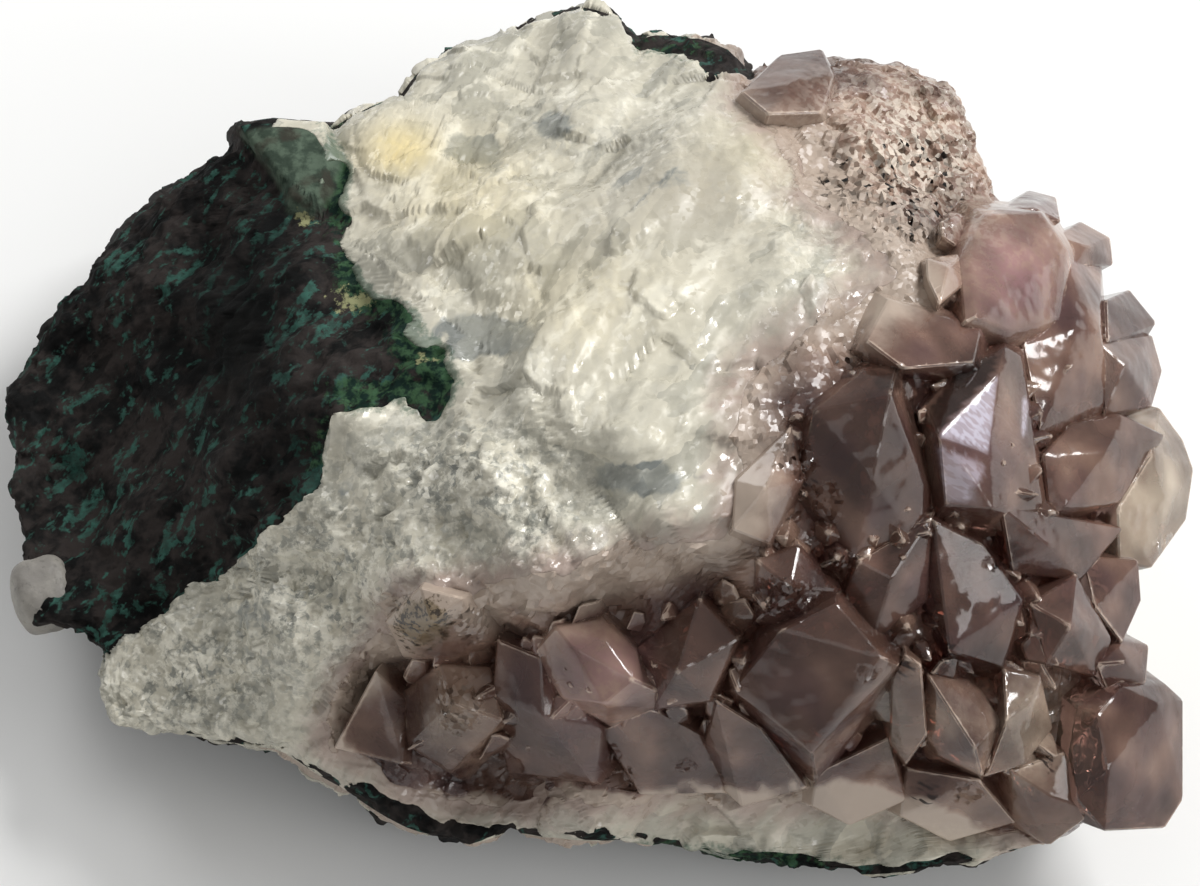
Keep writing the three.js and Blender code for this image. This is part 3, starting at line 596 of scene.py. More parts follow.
amethyst = {
    # the flat-faced crystals one by one: how light each is, and its corners across, up and above the crust
    "blocks": [
        # the lit point, upper right of the middle
        (0.42, [(27.2, 6.5, 2.4), (26.8, 4.6, 3.2), (22.8, 0.4, 4.2), (26.1, -0.8, 2.9), (28.4, 5.8, 1.7),
            (29.7, -3.8, 0.5), (26.4, -4.4, 2.0), (23.2, -4.2, 1.5), (23.9, 4.9, 0.5), (21.9, 2.4, 0.3)]),
        # frosted pink face
        (0.6, [(25.9, 15.3, 3.0), (29.6, 15.5, 2.9), (31.3, 13.0, 2.9), (30.9, 8.4, 3.2), (27.6, 7.5, 3.4),
            (25.3, 8.5, 3.3), (24.8, 12.2, 3.1), (25.2, 15.8, 1.2), (30.2, 16.0, 1.2), (32.0, 13.0, 1.2),
            (31.4, 7.7, 1.6), (27.4, 6.8, 1.8), (24.5, 8.1, 1.8), (24.1, 12.3, 1.4)]),
        # tan block over the middle
        (0.3, [(19.4, 9.7, 2.0), (25.6, 7.7, 2.2), (25.1, 5.4, 3.2), (20.4, 5.0, 3.4), (17.9, 6.9, 2.4),
            (18.8, 10.1, 0.3), (26.1, 8.3, 0.4), (25.9, 4.8, 0.8), (17.3, 6.2, 0.6)]),
        # dark crystal in the middle
        (0.34, [(17.6, 4.8, 1.2), (20.0, 5.2, 2.2), (19.5, 3.2, 3.8), (14.4, 2.2, 2.2), (21.8, -2.8, 2.2),
            (21.2, -6.9, 0.4), (17.1, -7.6, 0.4), (13.3, -2.5, 0.4), (18.3, -2.4, 4.0)]),
        # crystal that points right
        (0.4, [(38.0, 0.5, 2.2), (29.8, -0.8, 0.6), (31.7, 1.3, 1.8), (35.1, 1.9, 2.0), (34.9, -4.0, 1.6),
            (31.3, -4.2, 2.0), (30.2, -5.0, 0.2), (33.9, -0.6, 3.6)]),
        # pale crystal at the right
        (0.95, [(37.6, 2.4, 0.2), (39.2, 0.2, 0.6), (39.9, -1.8, 1.0), (39.4, -5.2, 0.6), (37.1, -8.4, 0.0),
            (34.9, -8.0, 0.4), (34.8, -4.4, 1.6), (37.1, -0.6, 2.2), (38.0, -3.8, 2.4)]),
        # large dark crystal at the front
        (0.36, [(12.2, -12.6, 2.8), (15.9, -10.8, 2.6), (19.0, -14.4, 3.6), (14.2, -20.8, 3.6),
            (11.2, -18.2, 2.9), (20.1, -14.9, 1.6), (14.6, -21.8, 1.6), (8.9, -16.6, 0.4),
            (11.0, -12.8, 0.8), (16.0, -10.0, 0.8)]),
        # tall mauve crystal beside it
        (0.55, [(20.5, -14.2, 1.4), (21.6, -14.9, 2.0), (22.0, -19.6, 2.2), (20.6, -21.6, 2.4),
            (19.5, -20.1, 1.6), (19.6, -15.9, 1.4)]),
        # tan twin, left
        (0.55, [(22.1, -15.7, 1.2), (24.7, -15.9, 1.6), (27.0, -18.6, 1.2), (25.7, -22.4, 2.4),
            (22.8, -21.0, 1.6), (21.3, -18.5, 0.6), (23.7, -18.1, 3.2), (25.2, -20.5, 3.2)]),
        # tan twin, right
        (0.5, [(27.1, -15.2, 1.4), (29.6, -15.7, 1.6), (30.4, -19.2, 1.0), (28.5, -21.6, 1.4),
            (25.9, -22.4, 1.0), (27.3, -18.7, 2.8), (29.2, -17.5, 3.0)]),
        # rounded block at the lower right
        (0.4, [(32.0, -17.7, 1.8), (35.1, -16.4, 2.2), (38.0, -16.2, 1.8), (39.2, -17.3, 0.8),
            (39.2, -24.0, 0.6), (38.0, -25.9, 0.6), (33.9, -26.1, 1.4), (32.1, -24.0, 1.6),
            (31.6, -20.3, 1.4), (34.1, -22.0, 3.6), (38.4, -21.3, 2.4), (33.5, -18.3, 3.4),
            (37.5, -17.5, 3.0)]),
        # rounded pinkish crystal
        (0.6, [(-4.4, -14.0, 0.8), (-3.0, -12.4, 1.2), (0.1, -11.9, 1.4), (2.3, -13.8, 1.2),
            (3.8, -16.6, 0.8), (3.6, -17.8, 0.8), (0.7, -19.0, 1.2), (-2.6, -17.1, 0.8), (-1.8, -13.8, 3.0),
            (0.5, -13.4, 3.2), (2.2, -15.9, 2.8), (0.3, -17.5, 2.8)]),
        # faces below the lit point
        (0.2, [(22.4, -5.2, 1.4), (25.7, -6.8, 2.8), (28.4, -10.6, 2.4), (27.1, -15.1, 1.4),
            (23.5, -14.0, 1.4), (21.8, -10.6, 0.6), (25.0, -10.8, 3.4)]),
        (0.3, [(28.9, -10.8, 1.2), (32.0, -8.8, 1.8), (34.4, -13.2, 2.0), (33.3, -15.7, 1.2),
            (30.0, -14.9, 1.2), (31.6, -12.3, 3.2)]),
        (0.35, [(32.4, -7.6, 0.6), (36.2, -7.9, 1.2), (36.4, -10.6, 0.8), (35.1, -13.5, 1.0),
            (33.2, -11.0, 2.4)]),
        (0.4, [(34.8, -13.2, 0.4), (36.9, -13.6, 0.4), (36.7, -16.2, 0.4), (34.1, -16.9, 0.8),
            (33.3, -14.9, 1.6), (35.3, -14.7, 2.2)]),
        (0.25, [(26.9, -4.2, 0.8), (31.0, -5.0, 1.6), (35.2, -5.7, 1.2), (32.3, -9.2, 1.0),
            (27.7, -8.7, 1.6), (30.2, -6.9, 2.8)]),
        (0.3, [(17.3, -7.9, 1.0), (22.3, -5.0, 1.4), (22.0, -10.6, 1.2), (18.3, -13.4, 1.0),
            (16.3, -10.6, 0.6), (19.6, -9.1, 2.8)]),
        # faces at the left of the middle
        (0.35, [(9.1, -2.5, 0.0), (12.8, 1.1, 0.8), (13.7, -2.5, 1.2), (11.4, -6.8, 0.8), (8.9, -5.8, 0.2),
            (11.2, -3.0, 2.2)]),
        (0.25, [(10.5, -7.9, 0.6), (13.4, -6.9, 1.0), (16.0, -9.9, 1.2), (14.5, -12.7, 1.0),
            (10.5, -12.0, 0.8), (12.8, -9.7, 2.2)]),
        (0.3, [(2.4, -13.9, 0.8), (6.7, -10.4, 1.2), (9.3, -13.2, 1.6), (7.3, -17.3, 1.6),
            (3.7, -17.9, 0.8), (5.2, -15.4, 2.8)]),
        # lilac blade at the lower left
        (0.55, [(-13.4, -16.9, 0.5), (-10.8, -14.9, 0.8), (-7.4, -15.1, 1.0), (-6.6, -18.6, 0.8),
            (-10.1, -22.2, 1.0), (-12.9, -20.4, 0.6), (-9.9, -17.5, 2.2)]),
        (0.5, [(-17.9, -20.5, 0.2), (-15.1, -15.3, 0.6), (-13.0, -17.3, 1.0), (-13.3, -21.6, 0.6),
            (-14.9, -18.6, 1.6)]),
        (0.35, [(-6.9, -13.2, 0.5), (-4.0, -14.4, 1.0), (0.1, -19.2, 1.1), (-0.5, -22.8, 0.8),
            (-6.2, -22.1, 0.6), (-7.2, -17.3, 0.6), (-3.8, -18.3, 2.2)]),
        (0.35, [(0.0, -19.3, 0.5), (3.5, -17.8, 0.7), (8.2, -20.3, 0.7), (8.3, -23.5, 0.5),
            (2.7, -23.6, 0.4), (4.3, -20.8, 1.6)]),
        # speckled crystal
        (0.45, [(-14.4, -12.0, 0.4), (-12.1, -9.7, 0.8), (-9.3, -10.4, 1.2), (-7.5, -13.4, 1.0),
            (-9.9, -14.6, 0.8), (-13.3, -14.4, 0.6), (-11.3, -12.0, 2.2)]),
        (0.35, [(7.8, -17.3, 0.7), (10.9, -19.2, 1.0), (13.8, -23.2, 0.8), (9.5, -24.4, 0.4),
            (6.7, -21.8, 0.6), (9.9, -21.7, 1.7)]),
        (0.45, [(14.6, -22.1, 0.7), (19.4, -19.8, 0.8), (20.6, -24.0, 0.5), (16.8, -25.7, 0.2),
            (14.2, -24.4, 0.2), (17.6, -22.8, 1.4)]),
        (0.55, [(20.6, -21.8, 0.6), (25.5, -22.6, 0.8), (28.0, -25.5, 0.4), (23.5, -26.8, 0.1),
            (20.2, -25.1, 0.2), (24.1, -24.0, 1.4)]),
        (0.6, [(27.6, -22.0, 0.6), (31.2, -20.8, 0.9), (33.3, -24.8, 0.6), (30.2, -27.1, 0.1),
            (27.7, -25.7, 0.2), (30.2, -23.7, 1.5)]),
        # brown cap at the top
        (0.3, [(9.5, 23.6, 0.2), (12.1, 26.1, 0.6), (14.9, 26.5, 0.6), (15.7, 24.7, 0.8), (14.9, 22.2, 1.2),
            (11.3, 22.1, 1.0), (13.2, 24.3, 2.4)]),
        # point and lumps at the upper right
        (0.75, [(21.9, 12.4, 0.6), (24.6, 12.8, 1.0), (24.4, 10.6, 1.6), (22.8, 9.3, 2.0),
            (22.0, 11.0, 1.2), (23.4, 11.8, 2.4)]),
        (0.35, [(27.1, 15.8, 0.4), (28.8, 17.0, 0.4), (30.7, 16.5, 0.4), (31.0, 14.9, 0.8),
            (27.8, 14.4, 0.8), (29.2, 15.8, 1.8)]),
        (0.45, [(30.6, 13.9, 0.8), (32.3, 14.9, 0.8), (34.3, 13.8, 0.6), (34.5, 12.0, 0.8),
            (31.9, 11.8, 1.2), (32.8, 13.2, 2.2)]),
        (0.4, [(31.4, 12.6, 1.8), (33.7, 12.2, 1.4), (34.4, 3.0, 0.8), (32.7, 0.9, 0.8), (29.6, 0.9, 0.6),
            (28.4, 6.6, 1.0), (31.9, 7.6, 3.4), (33.6, 7.6, 2.4)]),
        (0.3, [(34.0, 9.6, 0.6), (35.6, 10.3, 0.4), (37.4, 8.1, 0.4), (36.4, 6.5, 0.6), (34.1, 6.8, 1.0),
            (35.5, 8.7, 2.0)]),
        (0.45, [(33.5, 6.8, 1.0), (37.1, 7.3, 0.6), (37.8, 4.8, 0.4), (37.1, 2.4, 0.6), (33.9, 1.9, 1.0),
            (35.3, 5.2, 2.6)]),
    ],
    "standing": 0.8,  # share of the stated heights that the corners stand above the crust
    "rootDepth": 2.6,
    "rootSpread": 1.38,
    "rootPull": 0.955,  # how much nearer the roots lie to the middle that the crystals spread from
    "rootReach": 0.93,  # of the way to the rim, the furthest out that a root may lie
    "aboveTable": 0.02,  # that every corner stays at least
    "spreadFrom": (13.0, -3.0),
    "longestEdge": 0.8,  # of the faces' triangles
    "flatWithin": 5,  # degrees between facets that are one face
    "bevel": 0.1,
    "smallSpacing": 2.3,
    "smallJitter": 0.35,  # of the spacing
    "smallEdge": 3.4,  # how far inside the crust's edge the small crystals begin
    "smallRadius": (0.7, 1.3),
    "smallRise": (0.8, 2.2),
    "smallLean": (0.02, 0.1),
    "smallTone": (0.2, 0.6),
    "crustTone": 0.42,
}


# Height that the crystals stand on, which is the upper surface a little nearer to the middle
def crustHeight(across, up):
    return upperHeight(0.94 * across, 0.94 * up)


# A crystal as the tight skin round its corners and round its root, which is the same corners spread
# apart and sunk into the crust; its edges are worn to narrow bevels
def blockShape(corners):
    across, up, lift = np.array(corners).T
    height = crustHeight(across, up)
    spread, pull = amethyst["rootSpread"], amethyst["rootPull"]
    fromAcross, fromUp = amethyst["spreadFrom"]
    rootAcross = across.mean() + spread * (across - across.mean())
    rootUp = up.mean() + spread * (up - up.mean())
    rootAcross = fromAcross + pull * (rootAcross - fromAcross)
    rootUp = fromUp + pull * (rootUp - fromUp)
    within = np.minimum(amethyst["rootReach"] / rimShare(rootAcross, rootUp)[0], 1)
    rootAcross, rootUp = rootAcross * within, rootUp * within
    top = place(across, up, height + amethyst["standing"] * lift)
    root = place(rootAcross, rootUp, height - amethyst["rootDepth"])
    shape = hullOf(np.concatenate([top, root]))
    flat = math.radians(amethyst["flatWithin"])
    bmesh.ops.dissolve_limit(shape, angle_limit=flat, verts=shape.verts, edges=shape.edges)
    edges = [edge for edge in shape.edges if edge.calc_face_angle(0) > flat]
    width = amethyst["bevel"]
    bmesh.ops.bevel(shape, geom=edges, offset=width, segments=1, affect="EDGES", clamp_overlap=True)
    bmesh.ops.remove_doubles(shape, verts=shape.verts, dist=0.02)
    worn = hullOf(np.array([vertex.co for vertex in shape.verts]))
    worn.verts.index_update()
    points = np.array([vertex.co for vertex in worn.verts])
    triangles = np.array([[vertex.index for vertex in face.verts] for face in worn.faces])
    shape.free()
    worn.free()
    return halveLongEdges(points, triangles, amethyst["longestEdge"])


# The tight skin round points, in triangles
def hullOf(points):
    shape = bmesh.new()
    for x, y, z in points:
        shape.verts.new((x, y, max(z, amethyst["aboveTable"])))
    result = bmesh.ops.convex_hull(shape, input=shape.verts)
    inner = result["geom_interior"] + result["geom_unused"]
    spare = {part for part in inner if isinstance(part, bmesh.types.BMVert)}
    bmesh.ops.delete(shape, geom=list(spare), context="VERTS")
    bmesh.ops.triangulate(shape, faces=shape.faces)
    bmesh.ops.recalc_face_normals(shape, faces=shape.faces)
    return shape


# Triangles small enough to carry tints that change over them: each edge longer than the limit is halved
# for both of its triangles, again and again, so the skin stays closed
def halveLongEdges(points, triangles, longest):
    for _ in range(6):
        starts, ends = triangles, np.roll(triangles, -1, 1)
        keys = np.minimum(starts, ends) * len(points) + np.maximum(starts, ends)
        edges, number = np.unique(keys, return_inverse=True)
        low, high = edges // len(points), edges % len(points)
        isLong = np.linalg.norm(points[low] - points[high], axis=1) > longest
        middle = np.full(len(edges), -1)
        middle[isLong] = len(points) + np.arange(isLong.sum())
        points = np.concatenate([points, (points[low] + points[high])[isLong] / 2])
        halved = middle[number.reshape(-1, 3)]
        count = (halved >= 0).sum(1)
        first = np.where(count == 2, np.argmin(halved >= 0, 1) + 1, np.argmax(halved >= 0, 1))
        turn = (first[:, None] + np.arange(3)) % 3
        a, b, c = np.take_along_axis(triangles, turn, 1).T
        ab, bc, ca = np.take_along_axis(halved, turn, 1).T
        parts = {
            0: [(a, b, c)],
            1: [(a, ab, c), (ab, b, c)],
            2: [(ab, b, bc), (a, ab, c), (ab, bc, c)],
            3: [(a, ab, ca), (ab, b, bc), (ca, bc, c), (ab, bc, ca)],
        }
        triangles = np.concatenate([
            np.stack(part, 1)[count == case] for case, listed in parts.items() for part in listed
        ])
    return points, triangles


# A number stored with a mesh's faces, which they keep when the crystals are joined: how light a crystal is
# as "tone", and as "grown" 1 on crystals and 0 on the crust between them
def storeFaces(mesh, name, value):
    layer = mesh.attributes.new(name, "FLOAT", "FACE")
    layer.data.foreach_set("value", np.full(len(mesh.polygons), value, np.float32))


def blockObjects(collection):
    for number, (tone, corners) in enumerate(amethyst["blocks"] + smallBlocks()):
        points, triangles = blockShape(corners)
        made = meshObject(f"block{number}", points, facingOut(points, triangles))
        storeFaces(made.data, "tone", tone)
        storeFaces(made.data, "grown", 1)
        bpy.context.scene.collection.objects.unlink(made)
        collection.objects.link(made)


# Small six-sided crystals on a jittered grid over the crust, each leaning away from the middle of the
# piece: how light each is, and its corners as above
def smallBlocks():
    random = np.random.default_rng(11)
    spacing = amethyst["smallSpacing"]
    column, row = (part.ravel() for part in np.meshgrid(np.arange(-10, 20), np.arange(-16, 17)))
    count = len(row)
    jitter = amethyst["smallJitter"]
    across = (column + 0.5 * (row % 2) + random.uniform(-jitter, jitter, count)) * spacing
    up = (row + random.uniform(-jitter, jitter, count)) * spacing * 0.87
    inside = depthInside(layers["druseEdge"], across, up)
    broken = patches(tints["broken"], across, up)
    kept = (inside > amethyst["smallEdge"]) & (rimShare(across, up)[0] < 0.9) & (broken < 0.4)
    radius = random.uniform(*amethyst["smallRadius"], (count, 1)) * random.uniform(0.75, 1.1, (count, 6))
    angle = np.radians(random.uniform(0, 60, (count, 1)) + 60 * np.arange(6))
    grownOut = smoothStep(1, 7, inside)
    rise = random.uniform(*amethyst["smallRise"], count) * (0.2 + 0.8 * grownOut)
    shoulders = random.uniform(-0.4, 0.4, (count, 6)) - 0.4 * (1 - grownOut[:, None])
    tone = random.uniform(*amethyst["smallTone"], count)
    lean = random.uniform(*amethyst["smallLean"], count)
    fromAcross, fromUp = amethyst["spreadFrom"]
    ringAcross, ringUp = across[:, None] + radius * np.cos(angle), up[:, None] + radius * np.sin(angle)
    ring = np.stack([ringAcross, ringUp, shoulders], -1)
    tip = np.stack([across + lean * (across - fromAcross), up + lean * (up - fromUp), rise], -1)
    corners = np.concatenate([ring, tip[:, None]], 1)
    return list(zip(tone[kept], corners[kept]))


def makeMinerals():
    whole = makeRock()
    print("rock shaped")
    aboveBasalt = makeSpaceAbove("aboveBasalt", quartzDepth, 0)
    aboveQuartz = makeSpaceAbove("aboveQuartz", druseDepth, 0)
    aboveGap = makeSpaceAbove("aboveGap", druseDepth, rock["crustGap"])
    basalt = combined("basalt_rind", whole, aboveBasalt, "DIFFERENCE")
    band = combined("band", whole, aboveBasalt, "INTERSECT")
    quartz = combined("milky_quartz_band", band, aboveQuartz, "DIFFERENCE")
    crust = combined("crust", whole, aboveGap, "INTERSECT")
    print("minerals parted")
    collection = bpy.data.collections.new("crystals")
    bpy.context.scene.collection.children.link(collection)
    blockObjects(collection)
    storeFaces(crust.data, "tone", amethyst["crustTone"])
    storeFaces(crust.data, "grown", 0)
    druse = combined("amethyst_druse", crust, collection, "UNION")
    remove(whole, aboveBasalt, aboveQuartz, aboveGap, band, crust, *collection.objects)
    bpy.data.collections.remove(collection)
    return basalt, quartz, druse


nodule = {
    "across": -37.4,
    "up": -10.2,
    "height": 9.4,
    "size": (2.1, 2.4, 2.2),
    "squareness": 3.2,
    "turn": 0.3,
    "rows": 60,
    "columns": 110,
}


# A ball swollen towards a box by a power sum, drawn out to three half widths and gently dented by noise
def makeNodule():
    polar = np.arange(1, nodule["rows"] + 1) / (nodule["rows"] + 1) * math.pi
    turns = np.linspace(0, 2 * math.pi, nodule["columns"], endpoint=False)
    ring = np.stack([
        np.sin(polar)[:, None] * np.cos(turns),
        np.sin(polar)[:, None] * np.sin(turns),
        np.cos(polar)[:, None] + 0 * turns,
    ], -1).reshape(-1, 3)
    ball = np.concatenate([[[0, 0, 1.0]], ring, [[0, 0, -1.0]]])
    squared = (abs(ball) ** nodule["squareness"]).sum(1) ** (-1 / nodule["squareness"])
    dents = squared * (1 + 0.03 * layeredNoise(ball * 2, 1, 3, 400))
    points = ball * dents[:, None] * np.array(nodule["size"])
    cos, sin = math.cos(nodule["turn"]), math.sin(nodule["turn"])
    points = points @ np.array([[cos, sin, 0], [-sin, cos, 0], [0, 0, 1]])
    middle = place(np.array(nodule["across"]), np.array(nodule["up"]), np.array(nodule["height"]))
    triangles = skinTriangles(nodule["rows"], nodule["columns"])
    return meshObject("quartz_nodule_lump", points + middle, facingOut(points, triangles))


# Fewer triangles where the surface is nearly flat, in a mesh that has too many
def thin(piece):
    count = sum(len(polygon.vertices) - 2 for polygon in piece.data.polygons)
    if count > rock["mostTriangles"]:
        modifier = piece.modifiers.new("thin", "DECIMATE")
        modifier.ratio = rock["mostTriangles"] / count
        bpy.context.view_layer.update()
        evaluated = piece.evaluated_get(bpy.context.evaluated_depsgraph_get())
        piece.data = bpy.data.meshes.new_from_object(evaluated)
        piece.modifiers.clear()
    print(piece.name, "triangles:", count)


basaltPiece, quartzPiece, drusePiece = makeMinerals()
nodulePiece = makeNodule()
for piece in (basaltPiece, quartzPiece, drusePiece):
    thin(piece)


def pointsOf(piece):
    points = np.zeros(3 * len(piece.data.vertices), np.float32)
    piece.data.vertices.foreach_get("co", points)
    return points.reshape(-1, 3).astype(float)


# How sharply the surface bends at each point, in degrees over the sharpest ridge that it lies on
def creases(piece):
    mesh = piece.data
    mesh.calc_loop_triangles()
    triangles = np.zeros(3 * len(mesh.loop_triangles), np.int32)
    mesh.loop_triangles.foreach_get("vertices", triangles)
    triangles = triangles.reshape(-1, 3).astype(np.int64)
    points = pointsOf(piece)
    a, b, c = (points[triangles[:, corner]] for corner in range(3))
    normals = np.cross(b - a, c - a)
    normals = normals / np.maximum(np.linalg.norm(normals, axis=1, keepdims=True), 1e-12)
    middles = (a + b + c) / 3
    starts = triangles.ravel()
    ends = np.roll(triangles, -1, 1).ravel()
    edges = np.minimum(starts, ends) * len(points) + np.maximum(starts, ends)
    order = np.argsort(edges, kind="stable")
    pairs = np.flatnonzero(edges[order][1:] == edges[order][:-1])
    first, second = order[pairs], order[pairs + 1]
    one, other = first // 3, second // 3
    bend = np.degrees(np.arccos(np.clip((normals[one] * normals[other]).sum(1), -1, 1)))
    isRidge = (normals[one] * (middles[other] - middles[one])).sum(1) < 0
    ridge = np.zeros(len(points))
    for corner in (starts[first], ends[first]):
        np.maximum.at(ridge, corner, np.where(isRidge, bend, 0))
    return ridge


# How strongly closed loops cover each place, the highest share of any, with soft edges
def loops(listed, across, up, soft=0.15):
    total = np.zeros(np.shape(across))
    for amount, loop in listed:
        total = np.maximum(total, amount * smoothStep(-soft, soft, depthInside(loop, across, up)))
    return total


def storeMask(piece, name, values):
    layer = piece.data.attributes.new(name, "FLOAT", "POINT")
    layer.data.foreach_set("value", np.clip(values, 0, 1).astype(np.float32))


def paintMasks():
    points = pointsOf(basaltPiece)
    across, up = seenAt(points)
    depth = -depthInside(layers["quartzEdge"], *wander(across, up, 40))
    upper = smoothStep(-6, -1, points[:, 2] - upperHeight(across, up))
    green = patches(relief["green"], across, up)
    storeMask(basaltPiece, "greenRim", (1 - smoothStep(0.4, 3.4, depth)) * upper * green)
    storeMask(basaltPiece, "threads", patches(relief["threads"], across, up) * upper)
    fromLedge = depthInside(relief["ledgeLoop"], across, up)
    storeMask(basaltPiece, "ledge", smoothStep(-0.2, 0.3, fromLedge) * upper)
    # Painted shade for the face left of the ridge
    storeMask(basaltPiece, "shade", patches(relief["shade"], across, up) * upper)
    storeMask(basaltPiece, "foliated", patches(relief["foliated"], across, up) * upper)

    points = pointsOf(quartzPiece)
    across, up = seenAt(points)
    upper = smoothStep(-9, -3, points[:, 2] - upperHeight(across, up))
    fromRock = depthInside(layers["quartzEdge"], *wander(across, up, 40))
    green = 0.3 + 0.7 * patches(relief["green"], across, up)
    storeMask(quartzPiece, "sugar", patches(relief["sugar"], across, up))
    storeMask(quartzPiece, "dome", patches(relief["dome"], across, up))
    storeMask(quartzPiece, "warm", patches(tints["warm"], across, up) * upper)
    storeMask(quartzPiece, "blueGrey", patches(tints["blueGrey"], across, up) * upper)
    storeMask(quartzPiece, "greenStain", (1 - smoothStep(0.1, 1.6, fromRock)) * green)
    fromDruse = depthInside(layers["druseEdge"], across, up)
    storeMask(quartzPiece, "mauve", smoothStep(-5.0, 1.0, fromDruse) * upper)

    points = pointsOf(drusePiece)
    across, up = seenAt(points)
    inside = depthInside(layers["druseEdge"], across, up) + 0.9 * layeredNoise(points, 2.0, 3, 500)
    milkWidth = 1.0 + 5.0 * smoothStep(-21, -13, up)
    clean = 1 - patches(tints["clean"], across, up)
    clean = clean * (1 - 0.6 * patches(tints["dark"], across, up))
    clouds = layeredNoise(points, tints["cloudSize"], 2, 510)
    shadows = layeredNoise(points, tints["shadowSize"], 2, 520)
    storeMask(drusePiece, "clouds", 0.5 + 0.2 * clouds)
    storeMask(drusePiece, "shadows", smoothStep(-0.3, 0.9, shadows))
    storeMask(drusePiece, "milk", (1 - smoothStep(0, 1, inside / milkWidth)) * clean)
    for name in ("pink", "pale", "dark", "broken", "glints", "speckled", "needles"):
        storeMask(drusePiece, name, patches(tints[name], across, up))
    for name in ("lit", "shaded"):
        storeMask(drusePiece, name, loops(tints[name], across, up))
    storeMask(drusePiece, "ridge", smoothStep(12, 45, creases(drusePiece)))


paintMasks()
for piece in (basaltPiece, quartzPiece, drusePiece, nodulePiece):
    piece.data.transform(Matrix.Scale(metres, 4))
    piece.data.shade_smooth()
drusePiece.data.set_sharp_from_angle(angle=math.radians(20))


# A node's output that sums and products can be written with
class Wire:
    def __init__(self, look, socket):
        self.look = look
        self.socket = socket

    def __add__(self, other):
        return self.look.maths("ADD", self, other)

    def __sub__(self, other):
        return self.look.maths("SUBTRACT", self, other)

    def __rsub__(self, other):
        return self.look.maths("SUBTRACT", other, self)

    def __mul__(self, other):
        return self.look.maths("MULTIPLY", self, other)

    __radd__ = __add__
    __rmul__ = __mul__


def srgb(red, green, blue):
    shares = np.array([red, green, blue]) / 255
    linear = np.where(shares <= 0.04045, shares / 12.92, ((shares + 0.055) / 1.055) ** 2.4)
    return (*linear, 1)


# A material whose nodes are added one by one
class Look:
    def __init__(self, name):
        self.material = bpy.data.materials.new(name)
        self.material.use_nodes = True
        self.tree = self.material.node_tree
        self.tree.nodes.clear()
        self.place = self.scaled(self.node("ShaderNodeTexCoord", output="Object"), 1 / metres)

    def node(self, kind, settings=None, inputs=None, output=0):
        made = self.tree.nodes.new(kind)
        for name, value in (settings or {}).items():
            setattr(made, name, value)
        for name, value in (inputs or {}).items():
            if isinstance(value, Wire):
                self.tree.links.new(value.socket, made.inputs[name])
            else:
                made.inputs[name].default_value = value
        return Wire(self, made.outputs[output])

    def maths(self, operation, first, second):
        return self.node("ShaderNodeMath", {"operation": operation}, {0: first, 1: second})

    def scaled(self, vector, factor):
        return self.node("ShaderNodeVectorMath", {"operation": "SCALE"}, {0: vector, "Scale": factor})

    # Places along axes turned by an angle seen from above, with the pattern drawn out along them
    def drawnOut(self, vector, angle, stretch):
        inputs = {"Vector": vector, "Rotation": (0, 0, math.radians(angle)), "Scale": stretch}
        return self.node("ShaderNodeMapping", {"vector_type": "TEXTURE"}, inputs)

    # A vector pushed along each axis by how far a colour's part lies above or below its middle, 0.5
    def pushed(self, vector, colour, amount):
        middle = (0.5, 0.5, 0.5)
        centred = self.node("ShaderNodeVectorMath", {"operation": "SUBTRACT"}, {0: colour, 1: middle})
        push = self.scaled(centred, amount)
        return self.node("ShaderNodeVectorMath", {"operation": "ADD"}, {0: vector, 1: push})

    # Places pushed about by noise, which bends straight patterns
    def warped(self, vector, size, amount):
        inputs = {"Vector": self.place, "Scale": 1 / size, "Detail": 3}
        return self.pushed(vector, self.node("ShaderNodeTexNoise", None, inputs, "Color"), 2 * amount)

    def noise(self, size, detail=4, roughness=0.55, vector=None, distortion=0):
        return self.node("ShaderNodeTexNoise", None, {
            "Vector": vector or self.place,
            "Scale": 1 / size,
            "Detail": detail,
            "Roughness": roughness,
            "Distortion": distortion,
        })

    # A colour of its own for each grain
    def cells(self, size, vector=None):
        inputs = {"Vector": vector or self.place, "Scale": 1 / size}
        return self.node("ShaderNodeTexVoronoi", None, inputs, "Color")

    def mask(self, name):
        return self.node("ShaderNodeAttribute", {"attribute_name": name}, None, "Fac")

    def between(self, value, low, high):
        settings = {"interpolation_type": "SMOOTHSTEP"}
        return self.node("ShaderNodeMapRange", settings, {"Value": value, "From Min": low, "From Max": high})

    def mix(self, factor, first, second):
        return self.node("ShaderNodeMix", {"data_type": "RGBA"}, {0: factor, 6: first, 7: second}, 2)

    def bump(self, height, distance, strength):
        inputs = {"Height": height, "Distance": distance, "Strength": strength}
        return self.node("ShaderNodeBump", None, inputs)

    # The normal pushed a random way in each cell, which makes the cells glint like grains
    def glinting(self, random, strength, normal):
        pushed = self.pushed(normal, random, strength)
        return self.node("ShaderNodeVectorMath", {"operation": "NORMALIZE"}, {0: pushed})

    def shader(self, inputs):
        return self.node("ShaderNodeBsdfPrincipled", None, inputs)

    def finish(self, surface, volume=None):
        made = self.tree.nodes.new("ShaderNodeOutputMaterial")
        self.tree.links.new(surface.socket, made.inputs["Surface"])
        if volume:
            self.tree.links.new(volume.socket, made.inputs["Volume"])
        return self.material


